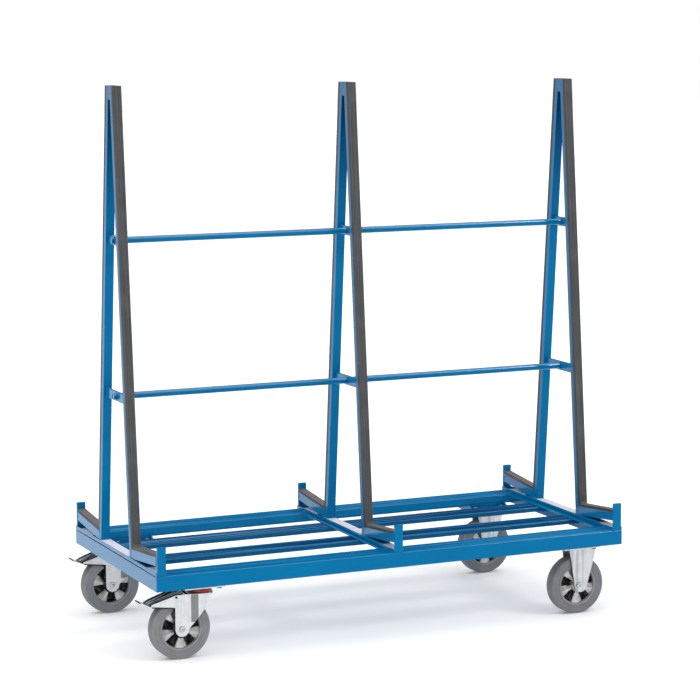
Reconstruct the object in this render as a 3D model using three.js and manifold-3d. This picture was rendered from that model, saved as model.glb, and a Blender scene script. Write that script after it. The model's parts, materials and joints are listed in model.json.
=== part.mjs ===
// A-frame cart for sheet goods: a welded base on four castors, three leaning A-frames with rubber pads,
// two tie tubes, two swivel castors with brake pedals and two fixed castors.
// Millimetres, +Z up, X along the cart, Y across it. The origin is on the floor, below the middle of the
// whole cart with its brake pedals.
import * as THREE from 'three'
import { mergeVertices } from 'three/addons/utils/BufferGeometryUtils.js'
import Module from 'manifold-3d'

const wasm = await Module()
wasm.setup()

// Clearances and the depth that welded solids sink into each other
const SEAT_GAP = 0.3
const RUNNING_GAP = 0.5
const WELD_DEPTH = 1

// Base frame, folded from sheet steel
const FRAME_LENGTH = 1700
const FRAME_WIDTH = 815
const FRAME_DEPTH = 50
const SHEET = 4
const RAIL_FLANGE = 90
const RAIL_LIP = 25
const END_FLANGE = 60
const SLAT_WIDTH = 87
const SLAT_DEPTH = 16
const SLAT_OFFSET = 120
const CROSSMEMBER_WIDTH = 70

// A-frames
const POST_HEIGHT = 1539
const POST_LEAN = THREE.MathUtils.degToRad(5.16)
const POST_WIDTH = 30
const POST_THICKNESS = 20
const POST_WALL = 2
const POST_TOP_GAP = 11
const PAD_THICKNESS = 14
const PAD_GROOVE_COUNT = 3
const PAD_GROOVE_WIDTH = 2.5
const PAD_GROOVE_DEPTH = 1.5
const BASE_BAR_WIDTH = 36
const BASE_BAR_HEIGHT = 12
const FOOT_BAR_HEIGHT = 24
const STOP_THICKNESS = 9
const STOP_HEIGHT = 93

// Tie tubes, measured up from the deck, and the plates that carry them
const TIE_DIAMETER = 22
const TIE_WALL = 2
const TIE_UPPER_RISE = 1035
const TIE_LOWER_RISE = 520.5
const SPREADER_THICKNESS = 8
const SPREADER_HEIGHT = 32

// Wheels
const WHEEL_DIAMETER = 200
const TYRE_WIDTH = 46
const TYRE_SHOULDER = 6
const RIM_DIAMETER = 134
const RIM_WALL = 7
const RIM_RECESS = 2
const WEB_RECESS = 6
const WEB_CORE = 6
const SPOKE_COUNT = 5
const SPOKE_SHARE = 0.46
const HUB_DIAMETER = 44
const HUB_OVERHANG = 5
const BEARING_DIAMETER = 30
const BEARING_PROUD = 3
const AXLE_DIAMETER = 12
const AXLE_HEAD_DIAMETER = 22
const AXLE_HEAD_LENGTH = 8

// Castor forks, plates and bolts
const SWIVEL_INSET = 170
const FIXED_INSET = 148
const CASTOR_SIDE_INSET = 65.5
const TRAIL = 72
const FORK_PLATE = 4
const FORK_END_RADIUS = 24
const FORK_FLARE_START = 30
const FORK_FLARE_RUN = 22
const FORK_FLARE = 9.5
const FIXED_LEG_BACK = 36
const FIXED_LEG_FRONT = 70
const FIXED_LEG_SHIFT = 7
const FIXED_BEND_BACK = 16
const FIXED_BEND_FRONT = 24
const FIXED_BEND = 4
const CROWN_CLEARANCE = 6
const CROWN_THICKNESS = 8
const LOWER_RACE_DIAMETER = 60
const LOWER_RACE_HEIGHT = 9.5
const UPPER_RACE_DIAMETER = 72
const UPPER_RACE_HEIGHT = 8
const KINGPIN_DIAMETER = 16
const KINGPIN_HEAD_DIAMETER = 26
const KINGPIN_HEAD_HEIGHT = 8
const FORK_KNEE_PAST = 2
const FORK_KNEE_DROP = 50
const FORK_BACK = 24
const HORN_OVERHANG = 5
const HORN_DROP = 24
const HORN_TIP_DEPTH = 6
const HORN_ROOT_DEPTH = 40
const PLATE_LENGTH = 140
const PLATE_WIDTH = 110
const PLATE_THICKNESS = 6
const BRACKET_THICKNESS = 6
const BRACKET_MARGIN = 6
const BOLT_DIAMETER = 10
const BOLT_EDGE_X = 17.5
const BOLT_EDGE_Y = 15
const NUT_DIAMETER = 19
const NUT_HEIGHT = 8
const BOLT_PROUD = 2

// Brake pedals, measured along X from their pins
const PEDAL_PIN_BACK = 20
const PEDAL_PIN_RISE = 7
const PEDAL_PIN_DIAMETER = 8
const PEDAL_BOSS_DIAMETER = 14
const PEDAL_REACH = 92
const PEDAL_FLAT = 16
const PEDAL_DROP = 35
const PEDAL_THICKNESS = 9
const PEDAL_TIP_BEVEL = 14
const PEDAL_TAIL = 24
const PEDAL_TAIL_DROP = 4
const PEDAL_TYRE_GAP = 3.5
const PEDAL_HEAD_GAP = 7
const PEDAL_SIDE_GAP = 3
const LIP_ROOT = 6
const LIP_REACH = 42
const LIP_RISE = 21
const LIP_THICKNESS = 2.5

// Facets of round pieces
const WHEEL_FACETS = 30
const ROUND_FACETS = 16
const BOLT_FACETS = 10
const HEX_FACETS = 6
const CORNER_FACETS = 3
const POCKET_FACETS = 2

// Places worked out from the sizes above
const wheelRadius = WHEEL_DIAMETER / 2
const crownBottom = WHEEL_DIAMETER + CROWN_CLEARANCE
const crownTop = crownBottom + CROWN_THICKNESS
const lowerRaceTop = crownTop + LOWER_RACE_HEIGHT
const plateBottom = lowerRaceTop + RUNNING_GAP + UPPER_RACE_HEIGHT
const frameBottom = plateBottom + PLATE_THICKNESS
const deckTop = frameBottom + FRAME_DEPTH
const sheetTop = deckTop - SHEET
const halfLength = FRAME_LENGTH / 2
const halfWidth = FRAME_WIDTH / 2
const flangeEdge = halfWidth - RAIL_FLANGE
const skirtInside = halfWidth - SHEET
const insideEnd = halfLength - SHEET - SEAT_GAP
const postTop = deckTop + POST_HEIGHT
const barTop = deckTop + BASE_BAR_HEIGHT
const stopInside = halfWidth - STOP_THICKNESS
const leanRun = Math.tan(POST_LEAN)
const leanStretch = 1 / Math.cos(POST_LEAN)
const trackHalf = halfWidth - CASTOR_SIDE_INSET
const hubHalf = TYRE_WIDTH / 2 + HUB_OVERHANG
const forkInside = hubHalf + RUNNING_GAP
const forkOutside = forkInside + FORK_PLATE
const pedalPinHeight = WHEEL_DIAMETER + PEDAL_PIN_RISE
const endFrameX = halfLength - BASE_BAR_WIDTH / 2
const frameXs = { left: -endFrameX, centre: 0, right: endFrameX }
const swivelX = SWIVEL_INSET - halfLength
const fixedX = halfLength - FIXED_INSET
const swivelWheelX = swivelX - TRAIL
const leftReach = swivelWheelX - PEDAL_PIN_BACK - PEDAL_REACH - LIP_REACH
const sideSigns = { front: -1, rear: 1 }

// Materials
const finishes = {
  paint: { color: 0x0073b4, roughness: 0.3, metalness: 0.0 },
  pad: { color: 0x3c4144, roughness: 0.75, metalness: 0.0 },
  zinc: { color: 0xc9ced2, roughness: 0.35, metalness: 0.9 },
  aluminium: { color: 0xbfc2c4, roughness: 0.4, metalness: 0.9 },
  tyre: { color: 0x7c8085, roughness: 0.7, metalness: 0.0 },
  steel: { color: 0x8e9398, roughness: 0.35, metalness: 0.9 },
  pedal: { color: 0x1b2026, roughness: 0.4, metalness: 0.0 },
}

const xAxis = new THREE.Vector3(1, 0, 0)
const yAxis = new THREE.Vector3(0, 1, 0)
const zAxis = new THREE.Vector3(0, 0, 1)

// A closed geometry as a solid that can be joined and cut
function solid(geometry) {
  geometry.deleteAttribute('normal')
  geometry.deleteAttribute('uv')
  const merged = mergeVertices(geometry, 1e-4)
  const corners = []
  for (let i = 0; i < merged.index.count; i += 3) {
    const [a, b, c] = [0, 1, 2].map((k) => merged.index.getX(i + k))
    if (a !== b && b !== c && c !== a) corners.push(a, b, c)
  }
  const vertProperties = new Float32Array(merged.attributes.position.array)
  const mesh = new wasm.Mesh({ numProp: 3, vertProperties, triVerts: new Uint32Array(corners) })
  return new wasm.Manifold(mesh)
}

// A solid as a geometry, turned over the XZ plane where it stands on the front side
function geometryOf(shape, sign = 1) {
  const mesh = shape.getMesh()
  const positions = Float32Array.from(mesh.vertProperties)
  const corners = Uint32Array.from(mesh.triVerts)
  if (sign < 0) {
    for (let i = 1; i < positions.length; i += 3) positions[i] = -positions[i]
    corners.reverse()
  }
  const geometry = new THREE.BufferGeometry()
  geometry.setAttribute('position', new THREE.BufferAttribute(positions, 3))
  geometry.setIndex(new THREE.BufferAttribute(corners, 1))
  geometry.computeVertexNormals()
  return geometry
}

function piece(name, finish, shape, sign = 1) {
  const mesh = new THREE.Mesh(geometryOf(shape, sign), new THREE.MeshStandardMaterial(finishes[finish]))
  mesh.name = name
  return mesh
}

function join(...shapes) {
  return shapes.reduce((whole, shape) => whole.add(shape))
}

function cut(shape, ...tools) {
  return tools.reduce((rest, tool) => rest.subtract(tool), shape)
}

// Simple solids, given by their lowest and highest places
function box(x0, x1, y0, y1, z0, z1) {
  const geometry = new THREE.BoxGeometry(x1 - x0, y1 - y0, z1 - z0)
  geometry.translate((x0 + x1) / 2, (y0 + y1) / 2, (z0 + z1) / 2)
  return solid(geometry)
}

function outline(points) {
  return new THREE.Shape(points.map(([u, v]) => new THREE.Vector2(u, v)))
}

function extrude(shape, depth, curveSegments = CORNER_FACETS) {
  return new THREE.ExtrudeGeometry(shape, { depth, bevelEnabled: false, curveSegments })
}

// Outlines of Y and Z, drawn out along X
function prismX(shape, x0, x1, curveSegments = CORNER_FACETS) {
  const geometry = extrude(shape, x1 - x0, curveSegments)
  geometry.applyMatrix4(new THREE.Matrix4().makeBasis(yAxis, zAxis, xAxis))
  geometry.translate(x0, 0, 0)
  return solid(geometry)
}

// Outlines of X and Z, drawn out along Y
function prismY(shape, y0, y1, curveSegments = CORNER_FACETS) {
  const geometry = extrude(shape, y1 - y0, curveSegments)
  geometry.applyMatrix4(new THREE.Matrix4().makeBasis(xAxis, zAxis, yAxis.clone().negate()))
  geometry.translate(0, y1, 0)
  return solid(geometry)
}

// Outlines of X and Y, drawn out along Z
function prismZ(shape, z0, z1) {
  const geometry = extrude(shape, z1 - z0)
  geometry.translate(0, 0, z0)
  return solid(geometry)
}

function rodY(x, z, diameter, y0, y1, facets = ROUND_FACETS) {
  const geometry = new THREE.CylinderGeometry(diameter / 2, diameter / 2, y1 - y0, facets)
  geometry.translate(x, (y0 + y1) / 2, z)
  return solid(geometry)
}

function rodZ(x, y, diameter, z0, z1, facets = ROUND_FACETS) {
  const geometry = new THREE.CylinderGeometry(diameter / 2, diameter / 2, z1 - z0, facets)
  geometry.rotateX(Math.PI / 2)
  geometry.translate(x, y, (z0 + z1) / 2)
  return solid(geometry)
}

// A ring about the Y axis, from a closed profile of radius and place along the axis
function turnedY(profile) {
  const points = profile.map(([radius, along]) => new THREE.Vector2(radius, along))
  points.push(points[0].clone())
  return solid(new THREE.LatheGeometry(points, WHEEL_FACETS))
}

// Section of folded sheet, top face down from z, with a leg at its far edge and one at its near edge
function foldedSection(near, far, z, nearLeg, farLeg) {
  const shape = new THREE.Shape()
  shape.moveTo(far, z - farLeg)
  shape.lineTo(far, z - SHEET)
  shape.absarc(far - SHEET, z - SHEET, SHEET, 0, Math.PI / 2, false)
  if (nearLeg > 0) {
    shape.lineTo(near + SHEET, z)
    shape.absarc(near + SHEET, z - SHEET, SHEET, Math.PI / 2, Math.PI, false)
    shape.lineTo(near, z - nearLeg)
    shape.lineTo(near + SHEET, z - nearLeg)
    shape.lineTo(near + SHEET, z - SHEET)
  } else {
    shape.lineTo(near, z)
    shape.lineTo(near, z - SHEET)
  }
  shape.lineTo(far - SHEET, z - SHEET)
  shape.lineTo(far - SHEET, z - farLeg)
  return shape
}

// Bolt places of a castor plate, about its own middle
function boltPlaces() {
  const x = PLATE_LENGTH / 2 - BOLT_EDGE_X
  const y = PLATE_WIDTH / 2 - BOLT_EDGE_Y
  return [[-x, -y], [-x, y], [x, -y], [x, y]]
}

// Tray that a castor plate bolts to, with two gussets up to the rail's flange
function castorBracket(x) {
  const inside = trackHalf - PLATE_WIDTH / 2
  const half = PLATE_LENGTH / 2 + BRACKET_MARGIN
  const top = frameBottom + BRACKET_THICKNESS
  const lipInside = flangeEdge + SHEET
  const plate = box(x - half, x + half, inside, skirtInside + WELD_DEPTH, frameBottom, top)
  const gusset = outline([
    [inside, frameBottom],
    [skirtInside + WELD_DEPTH, frameBottom],
    [skirtInside + WELD_DEPTH, sheetTop + WELD_DEPTH],
    [lipInside, sheetTop + WELD_DEPTH],
    [lipInside, deckTop - RAIL_LIP],
    [inside, top],
  ])
  const left = prismX(gusset, x - half, x - half + BRACKET_THICKNESS)
  const right = prismX(gusset, x + half - BRACKET_THICKNESS, x + half)
  const width = BOLT_DIAMETER + 2 * RUNNING_GAP
  const holes = boltPlaces().map(([dx, dy]) =>
    rodZ(x + dx, trackHalf + dy, width, frameBottom - WELD_DEPTH, top + WELD_DEPTH, BOLT_FACETS),
  )
  return cut(join(plate, left, right), ...holes)
}

// Long side of the base: flange, skirt and lip, with the lip cut short for the skirts of the end rails
function sideRail() {
  const section = foldedSection(flangeEdge, halfWidth, deckTop, RAIL_LIP, FRAME_DEPTH)
  const rail = prismX(section, -halfLength, halfLength)
  const near = flangeEdge - WELD_DEPTH
  const far = flangeEdge + SHEET + WELD_DEPTH
  const low = deckTop - RAIL_LIP - WELD_DEPTH
  const left = box(-halfLength - WELD_DEPTH, -insideEnd, near, far, low, sheetTop)
  const right = box(insideEnd, halfLength + WELD_DEPTH, near, far, low, sheetTop)
  return join(cut(rail, left, right), castorBracket(swivelX), castorBracket(fixedX))
}

// Short side of the base at the right: flange between the side rails, skirt running on under their flanges
function endRail() {
  const section = foldedSection(halfLength - END_FLANGE, halfLength, deckTop, 0, FRAME_DEPTH)
  const reach = flangeEdge - SEAT_GAP
  const skirtReach = skirtInside - SEAT_GAP
  const skirtTop = sheetTop - SEAT_GAP
  const skirt = box(halfLength - SHEET, halfLength, -skirtReach, skirtReach, frameBottom, skirtTop)
  return join(prismY(section, -reach, reach), skirt)
}

function slat() {
  const near = SLAT_OFFSET - SLAT_WIDTH / 2
  const section = foldedSection(near, near + SLAT_WIDTH, sheetTop, SLAT_DEPTH, SLAT_DEPTH)
  return prismX(section, -insideEnd, insideEnd)
}

function crossmember() {
  const half = CROSSMEMBER_WIDTH / 2
  const reach = flangeEdge - SEAT_GAP
  return box(-half, half, -reach, reach, sheetTop, deckTop)
}

// Distance from the middle of the cart to a face that leans with the posts, a layer out from their insides
function leanFace(z, layer) {
  return POST_TOP_GAP / 2 + (postTop - z) * leanRun + layer * leanStretch
}

// Height of a face that lies square to the posts, a layer up from the underside of the foot bar
function footFace(y, layer) {
  return barTop + (y - leanFace(barTop, POST_THICKNESS)) * leanRun + layer * leanStretch
}

// Where a leaning face and a foot face cross
function cornerAt(leanLayer, footLayer) {
  const start = leanFace(barTop, leanLayer)
  const rise = footFace(start, footLayer) - barTop
  const y = start - (rise * leanRun) / (1 + leanRun * leanRun)
  return [y, footFace(y, footLayer)]
}

function post(x) {
  const half = POST_WIDTH / 2
  const bottom = barTop
  const outer = outline([
    [leanFace(bottom, 0), bottom],
    [leanFace(bottom, POST_THICKNESS), bottom],
    [leanFace(postTop, POST_THICKNESS), postTop],
    [leanFace(postTop, 0), postTop],
  ])
  const low = bottom - WELD_DEPTH
  const high = postTop - POST_WALL
  const far = POST_THICKNESS - POST_WALL
  const hollow = outline([
    [leanFace(low, POST_WALL), low],
    [leanFace(low, far), low],
    [leanFace(high, far), high],
    [leanFace(high, POST_WALL), high],
  ])
  const bore = prismX(hollow, x - half + POST_WALL, x + half - POST_WALL)
  return cut(prismX(outer, x - half, x + half), bore)
}

// Grooves along a pad, each as wide as the pad's groove and drawn from one outline
function grooves(x, shape) {
  const pitch = POST_WIDTH / (PAD_GROOVE_COUNT + 1)
  const cuts = []
  for (let i = 1; i <= PAD_GROOVE_COUNT; i += 1) {
    const middle = x - POST_WIDTH / 2 + i * pitch
    cuts.push(prismX(shape, middle - PAD_GROOVE_WIDTH / 2, middle + PAD_GROOVE_WIDTH / 2))
  }
  return cuts
}

function postPad(x) {
  const half = POST_WIDTH / 2
  const inside = POST_THICKNESS + SEAT_GAP
  const outside = inside + PAD_THICKNESS
  const low = FOOT_BAR_HEIGHT + SEAT_GAP
  const groove = outside - PAD_GROOVE_DEPTH
  const body = outline([
    cornerAt(inside, low),
    cornerAt(outside, low),
    [leanFace(postTop, outside), postTop],
    [leanFace(postTop, inside), postTop],
  ])
  const past = outside + WELD_DEPTH
  const channel = outline([
    cornerAt(groove, low + PAD_THICKNESS + SEAT_GAP),
    cornerAt(past, low + PAD_THICKNESS + SEAT_GAP),
    [leanFace(postTop + WELD_DEPTH, past), postTop + WELD_DEPTH],
    [leanFace(postTop + WELD_DEPTH, groove), postTop + WELD_DEPTH],
  ])
  return cut(prismX(body, x - half, x + half), ...grooves(x, channel))
}

function footPad(x) {
  const half = POST_WIDTH / 2
  const inside = POST_THICKNESS + SEAT_GAP + PAD_THICKNESS + SEAT_GAP
  const low = FOOT_BAR_HEIGHT + SEAT_GAP
  const high = low + PAD_THICKNESS
  const end = stopInside - SEAT_GAP
  const body = outline([
    cornerAt(inside, low),
    [end, footFace(end, low)],
    [end, footFace(end, high)],
    cornerAt(inside, high),
  ])
  const groove = high - PAD_GROOVE_DEPTH
  const past = high + WELD_DEPTH
  const far = end + WELD_DEPTH
  const channel = outline([
    cornerAt(inside - WELD_DEPTH, groove),
    [far, footFace(far, groove)],
    [far, footFace(far, past)],
    cornerAt(inside - WELD_DEPTH, past),
  ])
  return cut(prismX(body, x - half, x + half), ...grooves(x, channel))
}

// Foot bar and stop of one side, standing on the base bar
function footAndStop(x) {
  const half = POST_WIDTH / 2
  const inside = POST_THICKNESS + SEAT_GAP
  const end = stopInside + WELD_DEPTH
  const start = leanFace(barTop - WELD_DEPTH, inside)
  const bar = outline([
    [start, barTop - WELD_DEPTH],
    [start + WELD_DEPTH / leanRun, barTop - WELD_DEPTH],
    [end, footFace(end, 0)],
    [end, footFace(end, FOOT_BAR_HEIGHT)],
    cornerAt(inside, FOOT_BAR_HEIGHT),
  ])
  const stop = box(x - half, x + half, stopInside, halfWidth, barTop - WELD_DEPTH, deckTop + STOP_HEIGHT)
  return join(prismX(bar, x - half, x + half), stop)
}

function footBeam(x) {
  const half = BASE_BAR_WIDTH / 2
  const bar = box(x - half, x + half, -halfWidth, halfWidth, deckTop, barTop)
  const rear = footAndStop(x)
  const front = solid(geometryOf(rear, -1))
  return join(bar, rear, front)
}

// Plate between the two posts of an A-frame, bored for its tie tube
function spreader(x, rise) {
  const middle = deckTop + rise
  const low = middle - SPREADER_HEIGHT / 2
  const high = middle + SPREADER_HEIGHT / 2
  const shape = outline([
    [-leanFace(low, -SEAT_GAP), low],
    [leanFace(low, -SEAT_GAP), low],
    [leanFace(high, -SEAT_GAP), high],
    [-leanFace(high, -SEAT_GAP), high],
  ])
  const hole = new THREE.Path()
  hole.absarc(0, middle, TIE_DIAMETER / 2 + SEAT_GAP, 0, 2 * Math.PI, true)
  shape.holes.push(hole)
  return prismX(shape, x - SPREADER_THICKNESS / 2, x + SPREADER_THICKNESS / 2, ROUND_FACETS / 2)
}

function tieTube(rise) {
  const shape = new THREE.Shape()
  shape.absarc(0, deckTop + rise, TIE_DIAMETER / 2, 0, 2 * Math.PI, false)
  const bore = new THREE.Path()
  bore.absarc(0, deckTop + rise, TIE_DIAMETER / 2 - TIE_WALL, 0, 2 * Math.PI, true)
  shape.holes.push(bore)
  const reach = endFrameX + POST_WIDTH / 2
  return prismX(shape, -reach, reach, ROUND_FACETS / 2)
}

// Tyre about the wheel's own middle, with round shoulders
function tyre() {
  const inside = RIM_DIAMETER / 2 + SEAT_GAP
  const half = TYRE_WIDTH / 2
  const seat = half - RIM_RECESS
  const profile = [[inside, -seat], [inside + RIM_RECESS, -half]]
  for (const end of [-1, 1]) {
    for (let i = 0; i <= CORNER_FACETS; i += 1) {
      const turn = ((end < 0 ? i : CORNER_FACETS - i) / CORNER_FACETS) * (Math.PI / 2)
      const radius = wheelRadius - TYRE_SHOULDER * (1 - Math.sin(turn))
      profile.push([radius, end * (half - TYRE_SHOULDER * (1 - Math.cos(turn)))])
    }
  }
  profile.push([inside + RIM_RECESS, half], [inside, seat])
  return turnedY(profile)
}

// Pockets between the spokes, cut from one face of the rim's web
function spokePockets(face, phase) {
  const inner = HUB_DIAMETER / 2 + RIM_WALL / 2
  const outer = RIM_DIAMETER / 2 - RIM_WALL
  const step = (2 * Math.PI) / SPOKE_COUNT
  const half = (step * (1 - SPOKE_SHARE)) / 2
  const web = TYRE_WIDTH / 2 - RIM_RECESS - WEB_RECESS
  const [y0, y1] = face > 0 ? [WEB_CORE / 2, web + WELD_DEPTH] : [-web - WELD_DEPTH, -WEB_CORE / 2]
  const pockets = []
  for (let i = 0; i < SPOKE_COUNT; i += 1) {
    const middle = phase - Math.PI / 2 + (i + 0.5) * step
    const shape = new THREE.Shape()
    shape.absarc(0, 0, outer, middle - half, middle + half, false)
    shape.absarc(0, 0, inner, middle + half, middle - half, true)
    pockets.push(prismY(shape, y0, y1, POCKET_FACETS))
  }
  return pockets
}

function rim(phase) {
  const bore = BEARING_DIAMETER / 2 + SEAT_GAP
  const hub = HUB_DIAMETER / 2
  const hubEnd = hubHalf - BEARING_PROUD
  const edge = TYRE_WIDTH / 2 - RIM_RECESS
  const web = edge - WEB_RECESS
  const outer = RIM_DIAMETER / 2
  const wall = outer - RIM_WALL
  const profile = [
    [bore, -hubEnd], [hub, -hubEnd], [hub, -web], [wall, -web], [wall, -edge], [outer, -edge],
    [outer, edge], [wall, edge], [wall, web], [hub, web], [hub, hubEnd], [bore, hubEnd],
  ]
  return cut(turnedY(profile), ...spokePockets(-1, phase), ...spokePockets(1, phase))
}

function bearing() {
  const outer = rodY(0, 0, BEARING_DIAMETER, -hubHalf, hubHalf)
  const bore = rodY(0, 0, AXLE_DIAMETER + 2 * SEAT_GAP, -hubHalf - WELD_DEPTH, hubHalf + WELD_DEPTH)
  return cut(outer, bore)
}

function axle() {
  const rod = rodY(0, 0, AXLE_DIAMETER, -forkOutside - WELD_DEPTH, forkOutside + WELD_DEPTH)
  const heads = [-1, 1].map((end) => {
    const near = end * (forkOutside + SEAT_GAP)
    const far = end * (forkOutside + SEAT_GAP + AXLE_HEAD_LENGTH)
    return rodY(0, 0, AXLE_HEAD_DIAMETER, Math.min(near, far), Math.max(near, far), HEX_FACETS)
  })
  return join(rod, ...heads)
}

// Bolts of a castor plate, with their nuts above the bracket
function plateBolts() {
  const seat = frameBottom + BRACKET_THICKNESS
  const places = boltPlaces()
  const shanks = places.map(([x, y]) =>
    rodZ(x, y, BOLT_DIAMETER, frameBottom - WELD_DEPTH, seat + NUT_HEIGHT + BOLT_PROUD, BOLT_FACETS),
  )
  const nuts = places.map(([x, y]) => rodZ(x, y, NUT_DIAMETER, seat, seat + NUT_HEIGHT, HEX_FACETS))
  return join(...shanks, ...nuts)
}

function castorPlate() {
  const x = PLATE_LENGTH / 2
  const y = PLATE_WIDTH / 2
  return join(box(-x, x, -y, y, plateBottom, frameBottom), plateBolts())
}

// Plate that stays on the cart, with the upper race and the kingpin that the fork turns on
function swivelPlate() {
  const race = rodZ(0, 0, UPPER_RACE_DIAMETER, plateBottom - UPPER_RACE_HEIGHT, plateBottom + WELD_DEPTH)
  const headTop = crownBottom - RUNNING_GAP
  const pin = rodZ(0, 0, KINGPIN_DIAMETER, headTop - WELD_DEPTH, plateBottom)
  const head = rodZ(0, 0, KINGPIN_HEAD_DIAMETER, headTop - KINGPIN_HEAD_HEIGHT, headTop)
  return join(castorPlate(), race, pin, head)
}

// Side plate of a swivel fork, about the wheel's middle: leg to the axle, horn back over the tyre
function swivelSide() {
  const hornTip = -wheelRadius - HORN_OVERHANG
  const shape = new THREE.Shape()
  shape.moveTo(hornTip, crownTop - HORN_DROP)
  shape.lineTo(hornTip, crownTop - HORN_DROP - HORN_TIP_DEPTH)
  shape.lineTo(-FORK_END_RADIUS, crownTop - HORN_ROOT_DEPTH)
  shape.lineTo(-FORK_END_RADIUS, wheelRadius)
  shape.absarc(0, wheelRadius, FORK_END_RADIUS, Math.PI, 2 * Math.PI, false)
  shape.lineTo(TRAIL + FORK_KNEE_PAST, crownTop - FORK_KNEE_DROP)
  shape.lineTo(TRAIL + FORK_BACK, crownBottom)
  shape.lineTo(TRAIL + FORK_BACK, crownTop)
  shape.lineTo(-PEDAL_PIN_BACK, crownTop)
  return shape
}

// Side plate seen from above: straight past the wheel, then flared out to the width of the crown
function swivelPlan() {
  const back = TRAIL + FORK_BACK + WELD_DEPTH
  const tip = -wheelRadius - HORN_OVERHANG - WELD_DEPTH
  const end = FORK_FLARE_START + FORK_FLARE_RUN
  return outline([
    [tip, forkInside],
    [FORK_FLARE_START, forkInside],
    [end, forkInside + FORK_FLARE],
    [back, forkInside + FORK_FLARE],
    [back, forkOutside + FORK_FLARE],
    [end, forkOutside + FORK_FLARE],
    [FORK_FLARE_START, forkOutside],
    [tip, forkOutside],
  ])
}

function swivelFork() {
  const crownHalf = forkOutside + FORK_FLARE
  const blank = prismY(swivelSide(), forkInside, crownHalf)
  const far = blank.intersect(prismZ(swivelPlan(), 0, crownTop + WELD_DEPTH))
  const near = solid(geometryOf(far, -1))
  const round = rodZ(TRAIL, 0, 2 * crownHalf, crownBottom, crownTop)
  const crown = outline([
    [FORK_END_RADIUS, -forkOutside],
    [FORK_FLARE_START, -forkOutside],
    [FORK_FLARE_START + FORK_FLARE_RUN, -crownHalf],
    [TRAIL, -crownHalf],
    [TRAIL, crownHalf],
    [FORK_FLARE_START + FORK_FLARE_RUN, crownHalf],
    [FORK_FLARE_START, forkOutside],
    [FORK_END_RADIUS, forkOutside],
  ])
  const bridge = prismZ(crown, crownBottom, crownTop)
  const race = rodZ(TRAIL, 0, LOWER_RACE_DIAMETER, crownTop - WELD_DEPTH, lowerRaceTop)
  const pin = rodY(-PEDAL_PIN_BACK, pedalPinHeight, PEDAL_PIN_DIAMETER, -forkOutside, forkOutside)
  const axleBore = rodY(0, wheelRadius, AXLE_DIAMETER + 2 * SEAT_GAP, -forkOutside - 1, forkOutside + 1)
  const kingpinBore = rodZ(TRAIL, 0, KINGPIN_DIAMETER + 2 * SEAT_GAP, crownBottom - 1, lowerRaceTop + 1)
  return cut(join(near, far, round, bridge, race, pin), axleBore, kingpinBore)
}

// Leg of a fixed fork, about the wheel's middle, narrowing down to the axle
function fixedSide() {
  const shape = new THREE.Shape()
  shape.moveTo(-FIXED_LEG_BACK, plateBottom + WELD_DEPTH)
  shape.lineTo(FIXED_LEG_SHIFT - FORK_END_RADIUS, wheelRadius)
  shape.absarc(FIXED_LEG_SHIFT, wheelRadius, FORK_END_RADIUS, Math.PI, 2 * Math.PI, false)
  shape.lineTo(FIXED_LEG_FRONT, plateBottom + WELD_DEPTH)
  return shape
}

// Leg of a fixed fork seen from above: flat in the middle, with both edges bent in towards the wheel
function fixedPlan() {
  const back = FIXED_LEG_BACK - FIXED_BEND_BACK
  const front = FIXED_LEG_FRONT - FIXED_BEND_FRONT
  return outline([
    [-FIXED_LEG_BACK, forkInside - FIXED_BEND],
    [-back, forkInside],
    [front, forkInside],
    [FIXED_LEG_FRONT, forkInside - FIXED_BEND],
    [FIXED_LEG_FRONT, forkOutside - FIXED_BEND],
    [front, forkOutside],
    [-back, forkOutside],
    [-FIXED_LEG_BACK, forkOutside - FIXED_BEND],
  ])
}

function fixedFork() {
  const blank = prismY(fixedSide(), forkInside - FIXED_BEND, forkOutside)
  const far = blank.intersect(prismZ(fixedPlan(), 0, frameBottom))
  const near = solid(geometryOf(far, -1))
  const bore = rodY(0, wheelRadius, AXLE_DIAMETER + 2 * SEAT_GAP, -forkOutside - 1, forkOutside + 1)
  return cut(join(castorPlate(), near, far), bore)
}

// Pedal between the side plates of its fork, about the wheel's middle, with an upturned lip at its tip
function brakePedal() {
  const half = forkInside - PEDAL_SIDE_GAP
  const top = plateBottom - PEDAL_HEAD_GAP
  const low = WHEEL_DIAMETER + PEDAL_TYRE_GAP
  const pin = -PEDAL_PIN_BACK
  const tail = pin + PEDAL_TAIL
  const tip = pin - PEDAL_REACH
  const tipTop = top - PEDAL_DROP
  const body = outline([
    [tip, tipTop],
    [tip + PEDAL_TIP_BEVEL, tipTop - PEDAL_THICKNESS],
    [pin - PEDAL_BOSS_DIAMETER / 2, low],
    [tail, low],
    [tail, top - PEDAL_TAIL_DROP],
    [tail - PEDAL_TAIL_DROP, top],
    [tail - PEDAL_FLAT, top],
  ])
  const lip = outline([
    [tip + LIP_ROOT, tipTop - LIP_THICKNESS],
    [tip + LIP_ROOT, tipTop],
    [tip - LIP_REACH, tipTop + LIP_RISE],
    [tip - LIP_REACH, tipTop + LIP_RISE - LIP_THICKNESS],
  ])
  const boss = rodY(pin, pedalPinHeight, PEDAL_BOSS_DIAMETER, -half, half)
  const bore = rodY(pin, pedalPinHeight, PEDAL_PIN_DIAMETER + 2 * SEAT_GAP, -half - 1, half + 1)
  return cut(join(prismY(body, -half, half), prismY(lip, -half, half), boss), bore)
}

// Wheel and axle about their own middle, placed on the castor
function wheelGroup(label, x, sign, phase) {
  const group = new THREE.Group()
  group.position.set(x, 0, wheelRadius)
  group.add(piece(`${label}_axle`, 'steel', axle(), sign))
  group.add(piece(`${label}_bearing`, 'steel', bearing(), sign))
  group.add(piece(`${label}_rim`, 'aluminium', rim(phase), sign))
  group.add(piece(`${label}_tyre`, 'tyre', tyre(), sign))
  return group
}

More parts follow.
